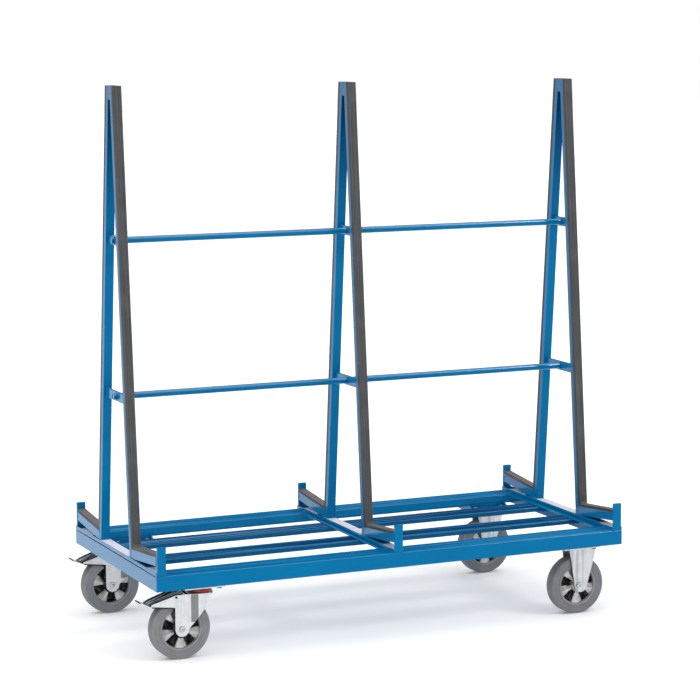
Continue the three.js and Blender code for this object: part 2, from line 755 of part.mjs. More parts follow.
function swivelCastor(side, phase) {
  const sign = sideSigns[side]
  const label = `${side}_swivel`
  const group = new THREE.Group()
  group.position.set(swivelX, sign * trackHalf, 0)
  group.add(piece(`${label}_plate`, 'zinc', swivelPlate(), sign))
  const trailing = new THREE.Group()
  trailing.position.set(-TRAIL, 0, 0)
  trailing.add(piece(`${label}_fork`, 'zinc', swivelFork(), sign))
  trailing.add(piece(`${side}_brake_pedal`, 'pedal', brakePedal(), sign))
  group.add(trailing, wheelGroup(label, -TRAIL, sign, phase))
  return group
}

function fixedCastor(side, phase) {
  const sign = sideSigns[side]
  const label = `${side}_fixed`
  const group = new THREE.Group()
  group.position.set(fixedX, sign * trackHalf, 0)
  group.add(piece(`${label}_fork`, 'zinc', fixedFork(), sign))
  group.add(wheelGroup(label, 0, sign, phase))
  return group
}

function baseFrame() {
  const group = new THREE.Group()
  for (const [side, sign] of Object.entries(sideSigns)) {
    group.add(piece(`${side}_rail`, 'paint', sideRail(), sign))
    group.add(piece(`${side}_slat`, 'paint', slat(), sign))
  }
  const leftEnd = piece('left_end_rail', 'paint', endRail())
  leftEnd.rotation.z = Math.PI
  group.add(leftEnd, piece('right_end_rail', 'paint', endRail()))
  group.add(piece('centre_crossmember', 'paint', crossmember()))
  return group
}

function aFrame(place, x) {
  const group = new THREE.Group()
  group.add(piece(`${place}_foot_beam`, 'paint', footBeam(x)))
  for (const [side, sign] of Object.entries(sideSigns)) {
    group.add(piece(`${place}_${side}_post`, 'paint', post(x), sign))
    group.add(piece(`${place}_${side}_post_pad`, 'pad', postPad(x), sign))
    group.add(piece(`${place}_${side}_foot_pad`, 'pad', footPad(x), sign))
  }
  group.add(piece(`${place}_upper_spreader`, 'paint', spreader(x, TIE_UPPER_RISE)))
  group.add(piece(`${place}_lower_spreader`, 'paint', spreader(x, TIE_LOWER_RISE)))
  return group
}

// The whole cart. The wheels stopped where they rolled to, so their spokes stand at different angles.
const halfSpoke = Math.PI / SPOKE_COUNT
const cart = new THREE.Group()
cart.position.x = -(leftReach + halfLength) / 2
cart.add(baseFrame())
for (const [place, x] of Object.entries(frameXs)) cart.add(aFrame(place, x))
cart.add(piece('upper_tie_tube', 'paint', tieTube(TIE_UPPER_RISE)))
cart.add(piece('lower_tie_tube', 'paint', tieTube(TIE_LOWER_RISE)))
cart.add(swivelCastor('front', 0), swivelCastor('rear', halfSpoke))
cart.add(fixedCastor('front', 0), fixedCastor('rear', 0))

export default cart
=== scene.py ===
import json
import math

import bmesh
import bpy
from mathutils import Matrix, Vector


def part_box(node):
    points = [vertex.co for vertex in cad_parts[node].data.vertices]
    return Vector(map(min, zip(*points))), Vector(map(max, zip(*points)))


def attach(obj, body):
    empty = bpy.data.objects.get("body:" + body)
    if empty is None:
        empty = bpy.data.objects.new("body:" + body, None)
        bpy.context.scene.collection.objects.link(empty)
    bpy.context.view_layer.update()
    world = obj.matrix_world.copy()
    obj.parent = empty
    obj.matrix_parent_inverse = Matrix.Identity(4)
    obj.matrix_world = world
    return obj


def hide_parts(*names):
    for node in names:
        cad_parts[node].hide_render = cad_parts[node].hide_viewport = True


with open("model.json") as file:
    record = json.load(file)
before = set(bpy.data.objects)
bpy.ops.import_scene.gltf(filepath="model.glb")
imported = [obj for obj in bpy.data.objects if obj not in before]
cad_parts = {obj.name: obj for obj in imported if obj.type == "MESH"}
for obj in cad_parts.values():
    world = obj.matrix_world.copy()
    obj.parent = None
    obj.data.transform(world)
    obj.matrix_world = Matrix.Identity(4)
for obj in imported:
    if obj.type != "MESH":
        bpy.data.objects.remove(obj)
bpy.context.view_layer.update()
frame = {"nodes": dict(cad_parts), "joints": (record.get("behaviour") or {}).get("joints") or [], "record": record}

MM = 0.001
SIDES = {"front": -1, "rear": 1}
PLACES = ("left", "centre", "right")
WHEELS = ("front_swivel", "rear_swivel", "front_fixed", "rear_fixed")

# Sizes of the frame that its boxes don't give
POST_LEAN = math.radians(5.16)
POST_THICKNESS = 20 * MM
FOOT_BAR_HEIGHT = 24 * MM
STOP_THICKNESS = 9 * MM
SEAT_GAP = 0.3 * MM
LEAN_RUN = math.tan(POST_LEAN)
LEAN_STRETCH = 1 / math.cos(POST_LEAN)


# Places, sizes and bodies of the CAD nodes
def low_of(node):
    return Vector(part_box(node)[0])


def high_of(node):
    return Vector(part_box(node)[1])


def middle_of(node):
    return (low_of(node) + high_of(node)) / 2


def half_of(node):
    return (high_of(node) - low_of(node)) / 2


def body_of(node):
    bodies = frame["record"]["behaviour"]["bodies"]
    return next(body for body, members in bodies.items() if node in members)


POST_TOP = high_of("centre_rear_post").z
POST_INSIDE = low_of("centre_rear_post").y
BAR_TOP = low_of("centre_rear_post").z
DECK_TOP = low_of("centre_foot_beam").z
HALF_WIDTH = high_of("centre_foot_beam").y
FRAME_BOTTOM = low_of("front_rail").z


def lean_face(z, layer):
    """Distance from the cart's middle to a face that leans with the posts, a layer out from their inside."""
    return POST_INSIDE + (POST_TOP - z) * LEAN_RUN + layer * LEAN_STRETCH


def foot_face(y, layer):
    """Height of a face that lies square to the posts, a layer up from the underside of the foot bar."""
    return BAR_TOP + (y - lean_face(BAR_TOP, POST_THICKNESS)) * LEAN_RUN + layer * LEAN_STRETCH


def corner_at(lean_layer, foot_layer):
    """Where a leaning face and a foot face cross, as y and z."""
    start = lean_face(BAR_TOP, lean_layer)
    rise = foot_face(start, foot_layer) - BAR_TOP
    y = start - rise * LEAN_RUN / (1 + LEAN_RUN * LEAN_RUN)
    return y, foot_face(y, foot_layer)


# Material building
class Recipe:
    """A material, or a world, with its nodes, links and main shader at hand."""

    def __init__(self, name, owners=bpy.data.materials, shader="Principled BSDF"):
        self.owner = owners.new(name)
        self.owner.use_nodes = True
        self.nodes = self.owner.node_tree.nodes
        self.links = self.owner.node_tree.links
        self.shader = self.nodes[shader]
        self.place = self.node("TexCoord").outputs["Object"]

    def set(self, node=None, **values):
        for name, value in values.items():
            (node or self.shader).inputs[name.replace("_", " ")].default_value = value

    def feed(self, output, socket):
        self.links.new(output, self.shader.inputs[socket])

    def node(self, kind, sources=None, **values):
        """A new node, with sources linked to sockets and values set on others."""
        node = self.nodes.new(f"ShaderNode{kind}")
        for socket, source in (sources or {}).items():
            self.links.new(source, node.inputs[socket])
        self.set(node, **values)
        return node

    def stretched(self, scale):
        return self.node("Mapping", {"Vector": self.place}, Scale=scale).outputs["Vector"]

    def noise(self, scale, detail, place=None):
        texture = self.node("TexNoise", {"Vector": place or self.place}, Scale=scale, Detail=detail)
        return texture.outputs["Fac"]

    def streaked(self, stretch, detail):
        return self.noise(1, detail, self.stretched(stretch))

    def cells(self, scale):
        return self.node("TexVoronoi", {"Vector": self.place}, Scale=scale).outputs["Color"]

    def rings(self, scale):
        """Uneven rings round the piece's own Z axis."""
        texture = self.node("TexWave", {"Vector": self.place}, Scale=scale, Distortion=2.5, Detail_Scale=0.6)
        texture.wave_type = "RINGS"
        texture.rings_direction = "Z"
        return texture.outputs["Fac"]

    def ranged(self, value, low=0, high=1, start=0.3, end=0.7):
        """A value that runs from low to high while another runs from start to end."""
        limits = {"From_Min": start, "From_Max": end, "To_Min": low, "To_Max": high}
        return self.node("MapRange", {"Value": value}, **limits).outputs["Result"]

    def mixed(self, share, first, second):
        mix = self.node("Mix", {0: share})
        mix.data_type = "RGBA"
        for socket, colour in ((mix.inputs[6], first), (mix.inputs[7], second)):
            if isinstance(colour, bpy.types.NodeSocket):
                self.links.new(colour, socket)
            else:
                socket.default_value = (*colour, 1)
        return mix.outputs[2]

    def laid(self, first_share, second_share, body, colour):
        """A colour laid over a body where both shares are high."""
        return self.mixed(self.both(first_share, second_share), body, colour)

    def part_of(self, vector, axis):
        return self.node("SeparateXYZ", {0: vector}).outputs[axis]

    def maths(self, operation, *values):
        result = self.node("Math", dict(enumerate(values)))
        result.operation = operation
        return result.outputs[0]

    def both(self, first, second):
        return self.maths("MULTIPLY", first, second)

    def larger(self, first, second):
        return self.maths("MAXIMUM", first, second)

    def between(self, value, low, high, soft):
        """1 where a value lies between two limits and 0 outside them, with soft edges."""
        rising = self.ranged(value, 0, 1, low - soft, low + soft)
        falling = self.ranged(value, 1, 0, high - soft, high + soft)
        return self.both(rising, falling)

    def band(self, axis, low, high, soft):
        """The same for places along an axis."""
        return self.between(self.part_of(self.place, axis), low, high, soft)

    def radius(self):
        """Distance from the piece's own Z axis."""
        length = self.node("VectorMath", {0: self.stretched((1, 1, 0))})
        length.operation = "LENGTH"
        return length.outputs["Value"]

    def sideways(self, low, high, start, end):
        """A value that runs from low to high where the surface looks more and more along the piece's Y."""
        along_y = self.part_of(self.node("TexCoord").outputs["Normal"], "Y")
        return self.ranged(self.maths("ABSOLUTE", along_y), low, high, start, end)

    def rise(self):
        """How far the surface looks up: 1 straight up, 0 level and -1 straight down."""
        return self.part_of(self.node("NewGeometry").outputs["Normal"], "Z")

    def upward(self):
        """1 on faces that look straight up and 0 on all others."""
        return self.ranged(self.rise(), 0, 1, 0.9, 0.97)

    def tilted(self):
        """1 on rounded edges and tubes where they look partly up, and 0 on level and upright faces."""
        rise = self.rise()
        return self.both(self.ranged(rise, 0, 1, 0.2, 0.45), self.ranged(rise, 1, 0, 0.85, 0.97))

    def edge_on(self):
        """1 on the cut edges of an upright plate that looks along Y, and 0 on its sides and its top."""
        return self.both(self.sideways(1, 0, 0.55, 0.85), self.ranged(self.rise(), 1, 0, 0.1, 0.4))

    def glancing(self, start, end, most):
        """Rises from 0 to its most where the surface is seen more and more at a slant."""
        return self.ranged(self.node("LayerWeight").outputs["Facing"], 0, most, start, end)

    def surface(self, colour, roughness, height, strength, depth):
        """The finished material, with its colour, its roughness and its small bumps."""
        self.feed(colour, "Base Color")
        self.feed(roughness, "Roughness")
        bump = self.node("Bump", {"Height": height}, Strength=strength, Distance=depth)
        self.feed(bump.outputs["Normal"], "Normal")
        return self.owner


# Colours, from dark to pale where a name has several
PAINT = ((0.0, 0.143, 0.335), (0.0, 0.163, 0.365), (0.01, 0.21, 0.43))
SLAT_PAINT = ((0.0, 0.082, 0.2), (0.0, 0.097, 0.23), (0.01, 0.13, 0.29))
# Painted shade: dark streaks on upward faces, shade under the foot bars and near the tops of the posts
TOP_SHADE = (0.0, 0.03, 0.11)
# Painted reflection: pale streaks on upward faces of the gloss paint
TOP_REFLECTION = (0.16, 0.32, 0.54)
# Painted reflection: pale sheen on the low tops of the foot bars
TOP_SHEEN = (0.7, 0.7, 0.76)
# Painted shade: darker, greyer sides of the posts, from a given height up
POST_SIDE_SHADE = (0.06, 0.14, 0.25)
STRIP_BLACK = ((0.03, 0.033, 0.036), (0.085, 0.089, 0.095))
STRIP_PATCH = (0.12, 0.125, 0.13)
# Painted shade on the rubber's edges
STRIP_SIDE_SHADE = (0.008, 0.008, 0.009)
# Dust and painted sheen on the rubber's upward faces
STRIP_DUST_AND_SHEEN = (0.25, 0.22, 0.19)
TYRE_GREY = ((0.185, 0.19, 0.2), (0.235, 0.24, 0.25))
# Painted shade: darker sidewalls for the tyres of the fixed castors
SHADED_TYRE_GREY = ((0.152, 0.157, 0.165), (0.198, 0.203, 0.211))
TREAD_GREY = ((0.125, 0.13, 0.137), (0.168, 0.173, 0.18))
LIP_GREY = ((0.2, 0.2, 0.205), (0.3, 0.3, 0.305))
TYRE_LINE_GREY = (0.1, 0.103, 0.108)
# Painted highlight: a pale ring on the tyre's bead
TYRE_BEAD_HIGHLIGHT = (0.42, 0.42, 0.43)
ZINC = ((0.67, 0.68, 0.69), (0.75, 0.76, 0.77))
FIXED_ZINC = ((0.56, 0.57, 0.59), (0.64, 0.65, 0.67))
ZINC_DRAWN = (0.45, 0.46, 0.48)
ZINC_DULL = (0.3, 0.31, 0.32)
ZINC_SHADE = (0.22, 0.23, 0.235)
# Painted shade on the cut edges of the swivel forks
ZINC_EDGE_SHADE = (0.025, 0.026, 0.028)
ALUMINIUM = ((0.36, 0.355, 0.35), (0.62, 0.61, 0.6))
# Painted shade: near-black floors of the spoke pockets
POCKET_FLOOR = ((0.003, 0.003, 0.0035), (0.012, 0.012, 0.013))
# Painted reflection: paler patches on the pocket floors
POCKET_REFLECTION = (0.11, 0.11, 0.105)
# Painted shade: darker walls of the spoke pockets
POCKET_WALL = ((0.03, 0.03, 0.031), (0.2, 0.198, 0.195))
STEEL = ((0.33, 0.34, 0.36), (0.55, 0.56, 0.58))
PEDAL_BLACK = ((0.006, 0.008, 0.011), (0.03, 0.036, 0.046))
# Painted highlight: pale streaks on the pedal's tread
PEDAL_HIGHLIGHT = (0.5, 0.52, 0.54)
SEAL_RED = ((0.2, 0.012, 0.014), (0.32, 0.02, 0.022))

# Fineness of streaks along X, Y and Z, and places where a finish changes
LENGTHWISE = (1.1, 150, 1)
CROSSWISE = (150, 1.1, 1)
POST_STREAKS = (420, 8, 2.2)
FOOT_STREAKS = (420, 2.2, 40)
DRAWN_STREAKS = (900, 900, 40)
WIDE_STREAKS = (90, 90, 3)
TURNED_STREAKS = (160, 2600, 160)
PEDAL_STREAKS = (14, 130, 14)
# Streaks of the painted sheen on the foot bars' low tops
SHEEN_GRAIN = (260, 30, 1)
# Heights over which the painted shade on the posts deepens
UPPER_POST = (POST_TOP * 0.7, POST_TOP * 0.94)
LOWER_POST = (POST_TOP * 0.1, POST_TOP * 0.4)
POST_FOOT = lean_face(BAR_TOP, POST_THICKNESS)
# Painted reflection: stretches of the foot bars' low tops with a pale sheen, between the painted shade under the
# foot bars
SHEEN_STRETCHES = (
    (-HALF_WIDTH, 90 * MM - HALF_WIDTH),
    (-POST_FOOT, POST_FOOT),
    (POST_FOOT + 70 * MM, HALF_WIDTH - 60 * MM),
)
TYRE_BEAD = (67 * MM, 68.6 * MM)
TYRE_LINES = ((70.2 * MM, 71 * MM), (74.6 * MM, 75.6 * MM), (88 * MM, 89 * MM))
LINE_SOFTNESS = 0.4 * MM
SHADED_HEIGHTS = (122 * MM, 213 * MM)
FORK_SHADE = [middle_of("front_swivel_plate").x + edge for edge in (-42 * MM, -20 * MM)]


def low_top_shade_and_sheen(recipe, body, low_top):
    """Painted shade on the low tops of the foot bars, with a painted pale sheen in some stretches of them."""
    grain = recipe.ranged(recipe.streaked(SHEEN_GRAIN, 3), 0.8)
    body = recipe.mixed(recipe.ranged(low_top, 0, 0.7, 0, 1), body, TOP_SHADE)
    for start, end in SHEEN_STRETCHES:
        sheen_mask = recipe.both(grain, recipe.band("Y", start, end, 10 * MM))
        body = recipe.laid(low_top, sheen_mask, body, TOP_SHEEN)
    return body


def gloss_paint(
    name, deep, bright, fleck, streaks=0.35, run=LENGTHWISE, shine=1.5,
    sheen_below=None, shaded_up=None, side_shade_up=None,
):
    """Gloss powder coat: clouds, speckle, orange peel, painted shade and reflection streaks on tops, painted shade
    and sheen on low tops, painted shade that deepens upwards.
    """
    recipe = Recipe(name)
    cloud = recipe.ranged(recipe.noise(5, 3))
    speckle = recipe.ranged(recipe.noise(1300, 2), 0, 0.16)
    body = recipe.mixed(speckle, recipe.mixed(cloud, deep, bright), fleck)
    top = recipe.upward()
    # Painted shade and painted reflection: dark and pale streaks along the upward faces
    top_streaks = recipe.streaked(run, 2)
    body = recipe.laid(top, recipe.ranged(top_streaks, 0, streaks, 0.46, 0.58), body, TOP_SHADE)
    body = recipe.laid(top, recipe.ranged(top_streaks, streaks, 0, 0.34, 0.44), body, TOP_REFLECTION)
    if sheen_below:
        body = low_top_shade_and_sheen(recipe, body, recipe.both(top, recipe.band("Z", 0, sheen_below, 0.1 * MM)))
    gloss = recipe.larger(recipe.glancing(0.35, 0.6, 0.7), recipe.tilted())
    # Painted shade: the posts' sides darker from a given height up, and their insides darker near the top
    if shaded_up:
        height = recipe.part_of(recipe.place, "Z")
        side_shade = recipe.ranged(height, 0, 1, *side_shade_up)
        shade = recipe.ranged(height, 0, 1, *shaded_up)
        body = recipe.laid(side_shade, recipe.sideways(0.75, 0, 0.3, 0.6), body, POST_SIDE_SHADE)
        body = recipe.laid(shade, recipe.sideways(0, 0.85, 0.5, 0.8), body, TOP_SHADE)
        gloss = recipe.both(gloss, recipe.ranged(side_shade, 0.65, 0.3, 0, 1))
    recipe.feed(recipe.ranged(top, 1.13, 1.02, 0, 1), "IOR")
    recipe.feed(recipe.both(gloss, recipe.ranged(top, 1, 0, 0, 1)), "Coat Weight")
    recipe.set(Coat_IOR=shine, Coat_Roughness=0.1)
    roughness = recipe.ranged(recipe.noise(26, 4), 0.16, 0.28)
    return recipe.surface(body, roughness, recipe.noise(330, 2), 0.04, 0.5 * MM)


def strip_rubber(name, streaks):
    """Dull extruded rubber: streaks along it, dusty patches, dust and painted sheen on its tops, and painted shade
    on its edges.
    """
    recipe = Recipe(name)
    streak = recipe.ranged(recipe.streaked(streaks, 3))
    patch = recipe.ranged(recipe.noise(14, 4), 0, 0.35, 0.45, 0.75)
    body = recipe.mixed(patch, recipe.mixed(streak, *STRIP_BLACK), STRIP_PATCH)
    # Painted shade on the edges, then dust and painted sheen on the tops
    body = recipe.mixed(recipe.ranged(recipe.edge_on(), 0, 0.7, 0, 1), body, STRIP_SIDE_SHADE)
    body = recipe.mixed(recipe.ranged(recipe.upward(), 0, 0.55, 0, 1), body, STRIP_DUST_AND_SHEEN)
    return recipe.surface(body, recipe.ranged(streak, 0.42, 0.66, 0, 1), streak, 0.25, 0.4 * MM)


def tyre_rubber(name, dark, pale):
    """Matt grey solid rubber: fine grain, faint mould clouds and rings, moulded lines and a painted highlight on
    the bead.
    """
    recipe = Recipe(name)
    cloud = recipe.ranged(recipe.noise(22, 4))
    grain = recipe.noise(1500, 3)
    rings = recipe.ranged(recipe.rings(48), 0, 0.4, 0.2, 0.9)
    body = recipe.mixed(rings, recipe.mixed(cloud, dark, pale), dark)
    radius = recipe.radius()
    wear = recipe.ranged(recipe.noise(70, 2), 0.3)
    for start, end in TYRE_LINES:
        body = recipe.laid(recipe.between(radius, start, end, LINE_SOFTNESS), wear, body, TYRE_LINE_GREY)
    # Painted highlight: a pale ring on the bead
    body = recipe.mixed(recipe.between(radius, *TYRE_BEAD, LINE_SOFTNESS), body, TYRE_BEAD_HIGHLIGHT)
    return recipe.surface(body, recipe.ranged(grain, 0.5, 0.7), grain, 0.2, 0.4 * MM)


def zinc_plate(name, streaks=0.25, shaded=None, tone=ZINC):
    """Bright zinc plate: spangles, drawn streaks, dull patches, and perhaps a painted shaded strip and painted
    shade on its edges.
    """
    recipe = Recipe(name)
    spangle = recipe.ranged(recipe.cells(90), 0, 1, 0.0, 1.0)
    drawn = recipe.streaked(DRAWN_STREAKS, 4)
    wide = recipe.streaked(WIDE_STREAKS, 2)
    body = recipe.mixed(spangle, *tone)
    body = recipe.mixed(recipe.ranged(drawn, 0, 0.2), body, ZINC_DRAWN)
    body = recipe.mixed(recipe.ranged(wide, 0, streaks, 0.48, 0.62), body, ZINC_DULL)
    if shaded:
        # Painted shade: a darker strip across the fork, and near-black edges
        across = recipe.band("X", *shaded, 0.7 * MM)
        body = recipe.laid(across, recipe.band("Z", *SHADED_HEIGHTS, 1 * MM), body, ZINC_SHADE)
        body = recipe.mixed(recipe.edge_on(), body, ZINC_EDGE_SHADE)
    recipe.set(Metallic=0.9)
    return recipe.surface(body, recipe.ranged(recipe.noise(40, 4), 0.26, 0.44), drawn, 0.1, 0.3 * MM)


def cast_aluminium():
    """Cast and turned aluminium: a fine grain with brighter turned patches."""
    recipe = Recipe("cast_aluminium")
    grain = recipe.noise(700, 4)
    body = recipe.mixed(recipe.ranged(recipe.noise(60, 3)), *ALUMINIUM)
    recipe.set(Metallic=0.9)
    return recipe.surface(body, recipe.ranged(grain, 0.28, 0.46), grain, 0.18, 0.4 * MM)


def dark_casting():
    """Painted shade: near-black floors of the spoke pockets, with paler painted reflections in patches."""
    recipe = Recipe("dark_casting")
    grain = recipe.noise(420, 4)
    reflection = recipe.ranged(recipe.noise(75, 3), 0, 0.7, 0.5, 0.66)
    body = recipe.mixed(reflection, recipe.mixed(recipe.ranged(grain), *POCKET_FLOOR), POCKET_REFLECTION)
    recipe.set(IOR=1.2)
    return recipe.surface(body, recipe.ranged(grain, 0.55, 0.8), grain, 0.3, 0.5 * MM)


def shaded_casting():
    """Rough cast walls of the spoke pockets in painted shade, dull grey with darker streaks."""
    recipe = Recipe("shaded_casting")
    streak = recipe.ranged(recipe.noise(180, 4), 0, 1, 0.35, 0.65)
    body = recipe.mixed(streak, *POCKET_WALL)
    recipe.set(Metallic=0.8)
    return recipe.surface(body, recipe.ranged(recipe.noise(700, 3), 0.3, 0.5), streak, 0.2, 0.4 * MM)


def turned_steel():
    """Turned steel of axles and bearings."""
    recipe = Recipe("turned_steel")
    lines = recipe.streaked(TURNED_STREAKS, 3)
    body = recipe.mixed(recipe.ranged(lines), *STEEL)
    recipe.set(Metallic=0.9)
    return recipe.surface(body, recipe.ranged(recipe.noise(60, 3), 0.25, 0.42), lines, 0.06, 0.3 * MM)


def black_pedal():
    """Black coated pedal: painted highlight streaks on top, with a fine grain and a hard gloss."""
    recipe = Recipe("black_pedal")
    patch = recipe.noise(38, 4)
    streak = recipe.ranged(recipe.streaked(PEDAL_STREAKS, 3), 0, 1, 0.5, 0.58)
    body = recipe.mixed(recipe.ranged(patch, 0, 1, 0.5, 0.72), *PEDAL_BLACK)
    # Painted highlight: pale streaks on faces that look up
    body = recipe.laid(streak, recipe.ranged(recipe.rise(), 0, 1, 0.5, 0.8), body, PEDAL_HIGHLIGHT)
    recipe.set(IOR=1.15, Coat_Weight=1.0, Coat_IOR=1.7, Coat_Roughness=0.08)
    return recipe.surface(body, recipe.ranged(patch, 0.14, 0.32), recipe.noise(900, 2), 0.08, 0.4 * MM)


def red_seal():
    """Dark red moulded dust seal."""
    recipe = Recipe("red_seal")
    body = recipe.mixed(recipe.ranged(recipe.noise(60, 3)), *SEAL_RED)
    roughness = recipe.ranged(recipe.noise(90, 2), 0.14, 0.3)
    return recipe.surface(body, roughness, recipe.noise(500, 2), 0.05, 0.3 * MM)


looks = {
    "blue_paint": gloss_paint("blue_coat", *PAINT),
    "strip_rubber": strip_rubber("post_rubber", POST_STREAKS),
    "tyre_grey": tyre_rubber("tyre_side", *TYRE_GREY),
    "zinc": zinc_plate("zinc_plate"),
    "rim_aluminium": cast_aluminium(),
    "bearing_steel": turned_steel(),
    "pedal_black": black_pedal(),
}
tube_paint = gloss_paint("tube_coat", *PAINT, shine=1.9)
rear_post_paint = gloss_paint("rear_post_coat", *PAINT, shaded_up=UPPER_POST, side_shade_up=UPPER_POST)
cross_paint = gloss_paint("cross_coat", *PAINT, run=CROSSWISE)
foot_rubber = strip_rubber("foot_rubber", FOOT_STREAKS)
# Painted shade: a darker copy of the tyre sidewall for the fixed castors
shaded_tyre_side = tyre_rubber("shaded_tyre_side", *SHADED_TYRE_GREY)
tread_rubber = tyre_rubber("tyre_tread", *TREAD_GREY)
pocket_look = dark_casting()
wall_look = shaded_casting()
lip_look = tyre_rubber("dull_lip", *LIP_GREY)
seal_look = red_seal()


# CAD nodes: their own finish, and small rounded edges that catch the light
EDGE_WIDTH = {"blue_paint": 1.2 * MM, "zinc": 0.8 * MM, "pedal_black": 1.2 * MM}
FOLD_WIDTH = 1.9 * MM
EDGE_SEGMENTS = 2
SHARP_ANGLE = 35
NODE_LOOKS = {
    "_slat": gloss_paint("slat_coat", *SLAT_PAINT, streaks=0.9),
    "_rear_post": rear_post_paint,
    "_front_post": gloss_paint("front_post_coat", *PAINT, shaded_up=UPPER_POST, side_shade_up=LOWER_POST),
    "_end_rail": cross_paint,
    "_crossmember": cross_paint,
    "_spreader": cross_paint,
    # Foot bars: painted shade and painted sheen on their low tops
    "_foot_beam": gloss_paint("bar_coat", *PAINT, run=CROSSWISE, sheen_below=BAR_TOP + 1 * MM),
    "_swivel_fork": zinc_plate("swivel_zinc", 0.15, FORK_SHADE),
    "_fixed_fork": zinc_plate("fixed_zinc", 0.5, tone=FIXED_ZINC),
}


def look_of(name, slot):
    """Finish of a CAD node: its own where its kind has one, else that of its slot."""
    return next((look for ending, look in NODE_LOOKS.items() if name.endswith(ending)), looks[slot])


def soften(node, width):
    weld = node.modifiers.new("weld", "WELD")
    weld.merge_threshold = 0.01 * MM
    bevel = node.modifiers.new("edges", "BEVEL")
    bevel.width = width
    bevel.segments = EDGE_SEGMENTS
    bevel.limit_method = "ANGLE"
    bevel.angle_limit = math.radians(SHARP_ANGLE)
    node.modifiers.new("normals", "WEIGHTED_NORMAL")


def dress_nodes():
    for entry in frame["record"]["subparts"]:
        name = entry["node"]
        node = frame["nodes"][name]
        slot = entry["material_slot"]
        node.data.materials.clear()
        node.data.materials.append(look_of(name, slot))
        width = FOLD_WIDTH if name.endswith(("_rail", "_slat")) else EDGE_WIDTH.get(slot)
        if width:
            soften(node, width)


# Mesh building for the added pieces
def finished_mesh(name, build, sharp=SHARP_ANGLE):
    bmesh.ops.recalc_face_normals(build, faces=build.faces[:])
    mesh = bpy.data.meshes.new(name)
    build.to_mesh(mesh)
    build.free()
    mesh.polygons.foreach_set("use_smooth", [True] * len(mesh.polygons))
    mesh.set_sharp_from_angle(angle=math.radians(sharp))
    return mesh


def skin(build, rings, closed_along=False, caps=False):
    """Faces between rings of vertices, with an end cap on the first and last ring if asked for."""
    faces = []
    count = len(rings) if closed_along else len(rings) - 1
    for k in range(count):
        first, second = rings[k], rings[(k + 1) % len(rings)]
        steps = len(first)
        for i in range(steps):
            j = (i + 1) % steps
            faces.append(build.faces.new((first[i], first[j], second[j], second[i])))
    if caps:
        build.faces.new(tuple(reversed(rings[0])))
        build.faces.new(tuple(rings[-1]))
    return faces


def add_run(build, rings):
    """Capped faces over rings of places, from one end of a run to the other."""
    return skin(build, [[build.verts.new(spot) for spot in ring] for ring in rings], caps=True)


def run_mesh(name, *runs, sharp=SHARP_ANGLE):
    build = bmesh.new()
    for rings in runs:
        add_run(build, rings)
    return finished_mesh(name, build, sharp)


def circle_points(build, centre, across, up, radius, steps):
    points = []
    for i in range(steps):
        turn = 2 * math.pi * i / steps
        points.append(build.verts.new(centre + radius * (math.cos(turn) * across + math.sin(turn) * up)))
    return points


AXIS_X = Vector((1, 0, 0))
AXIS_Y = Vector((0, 1, 0))
AXIS_Z = Vector((0, 0, 1))


def turned_mesh(name, profile, steps, solid=False):
    """A ring about Z from a closed profile of radius and height, or a capped body where it is solid."""
    build = bmesh.new()
    rings = []
    for radius, height in profile:
        rings.append(circle_points(build, AXIS_Z * height, AXIS_X, AXIS_Y, radius, steps))
    skin(build, rings, closed_along=not solid, caps=solid)
    return finished_mesh(name, build)


def mirrored(profile):
    """A profile with its mirror image added, so that it closes on itself."""
    return profile + [(radius, -height) for radius, height in reversed(profile)]


def hex_mesh(name, across, height, chamfer):
    """A nut or bolt head about Z, standing on its own middle plane, with both rims chamfered."""
    rim = [(across / 2 - chamfer, -height / 2), (across / 2, -height / 2 + chamfer)]
    return turned_mesh(name, mirrored(rim), 6, solid=True)


def quarter_turn(radius, steps):
    """Points round a quarter circle, as distances from its two sides."""
    turns = [math.pi / 2 * i / steps for i in range(steps + 1)]
    return [(radius * (1 - math.cos(turn)), radius * (1 - math.sin(turn))) for turn in turns]


def add_piece(mesh, body, slot, *materials, where=(0, 0, 0), turn=(0, 0, 0), replaces=None):
    """A piece that is named after its mesh, with its slot's look unless others are given."""
    piece = bpy.data.objects.new(mesh.name, mesh)
    bpy.context.scene.collection.objects.link(piece)
    for material in materials or (looks[slot],):
        mesh.materials.append(material)
    piece.location = where
    piece.rotation_euler = turn
    if replaces:
        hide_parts(replaces)
    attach(piece, body)


ALONG_X = (0, math.pi / 2, 0)
ALONG_Y = (-math.pi / 2, 0, 0)


def stand_in(node, mesh, turn, slot, *materials):
    """A piece about a CAD node's middle that takes the node's place."""
    add_piece(mesh, body_of(node), slot, *materials, where=middle_of(node), turn=turn, replaces=node)


# Rubber pads: a strip with rounded edges and three grooves down its face
PAD_WIDTH = 30 * MM
PAD_THICKNESS = 14 * MM
PAD_CORNER = 2.4 * MM
PAD_CORNER_STEPS = 4
PAD_FACE_STEPS = 40
PAD_GROOVES = 3
PAD_GROOVE_WIDTH = 3.6 * MM
PAD_GROOVE_DEPTH = 1.5 * MM
PAD_RINGS = 12
PAD_SHARP = 50


def groove_depth(across):
    pitch = PAD_WIDTH / (PAD_GROOVES + 1)
    nearest = min(abs(across + PAD_WIDTH / 2 - (i + 1) * pitch) for i in range(PAD_GROOVES))
    if nearest > PAD_GROOVE_WIDTH / 2:
        return 0
    return PAD_GROOVE_DEPTH * math.cos(math.pi * nearest / PAD_GROOVE_WIDTH)


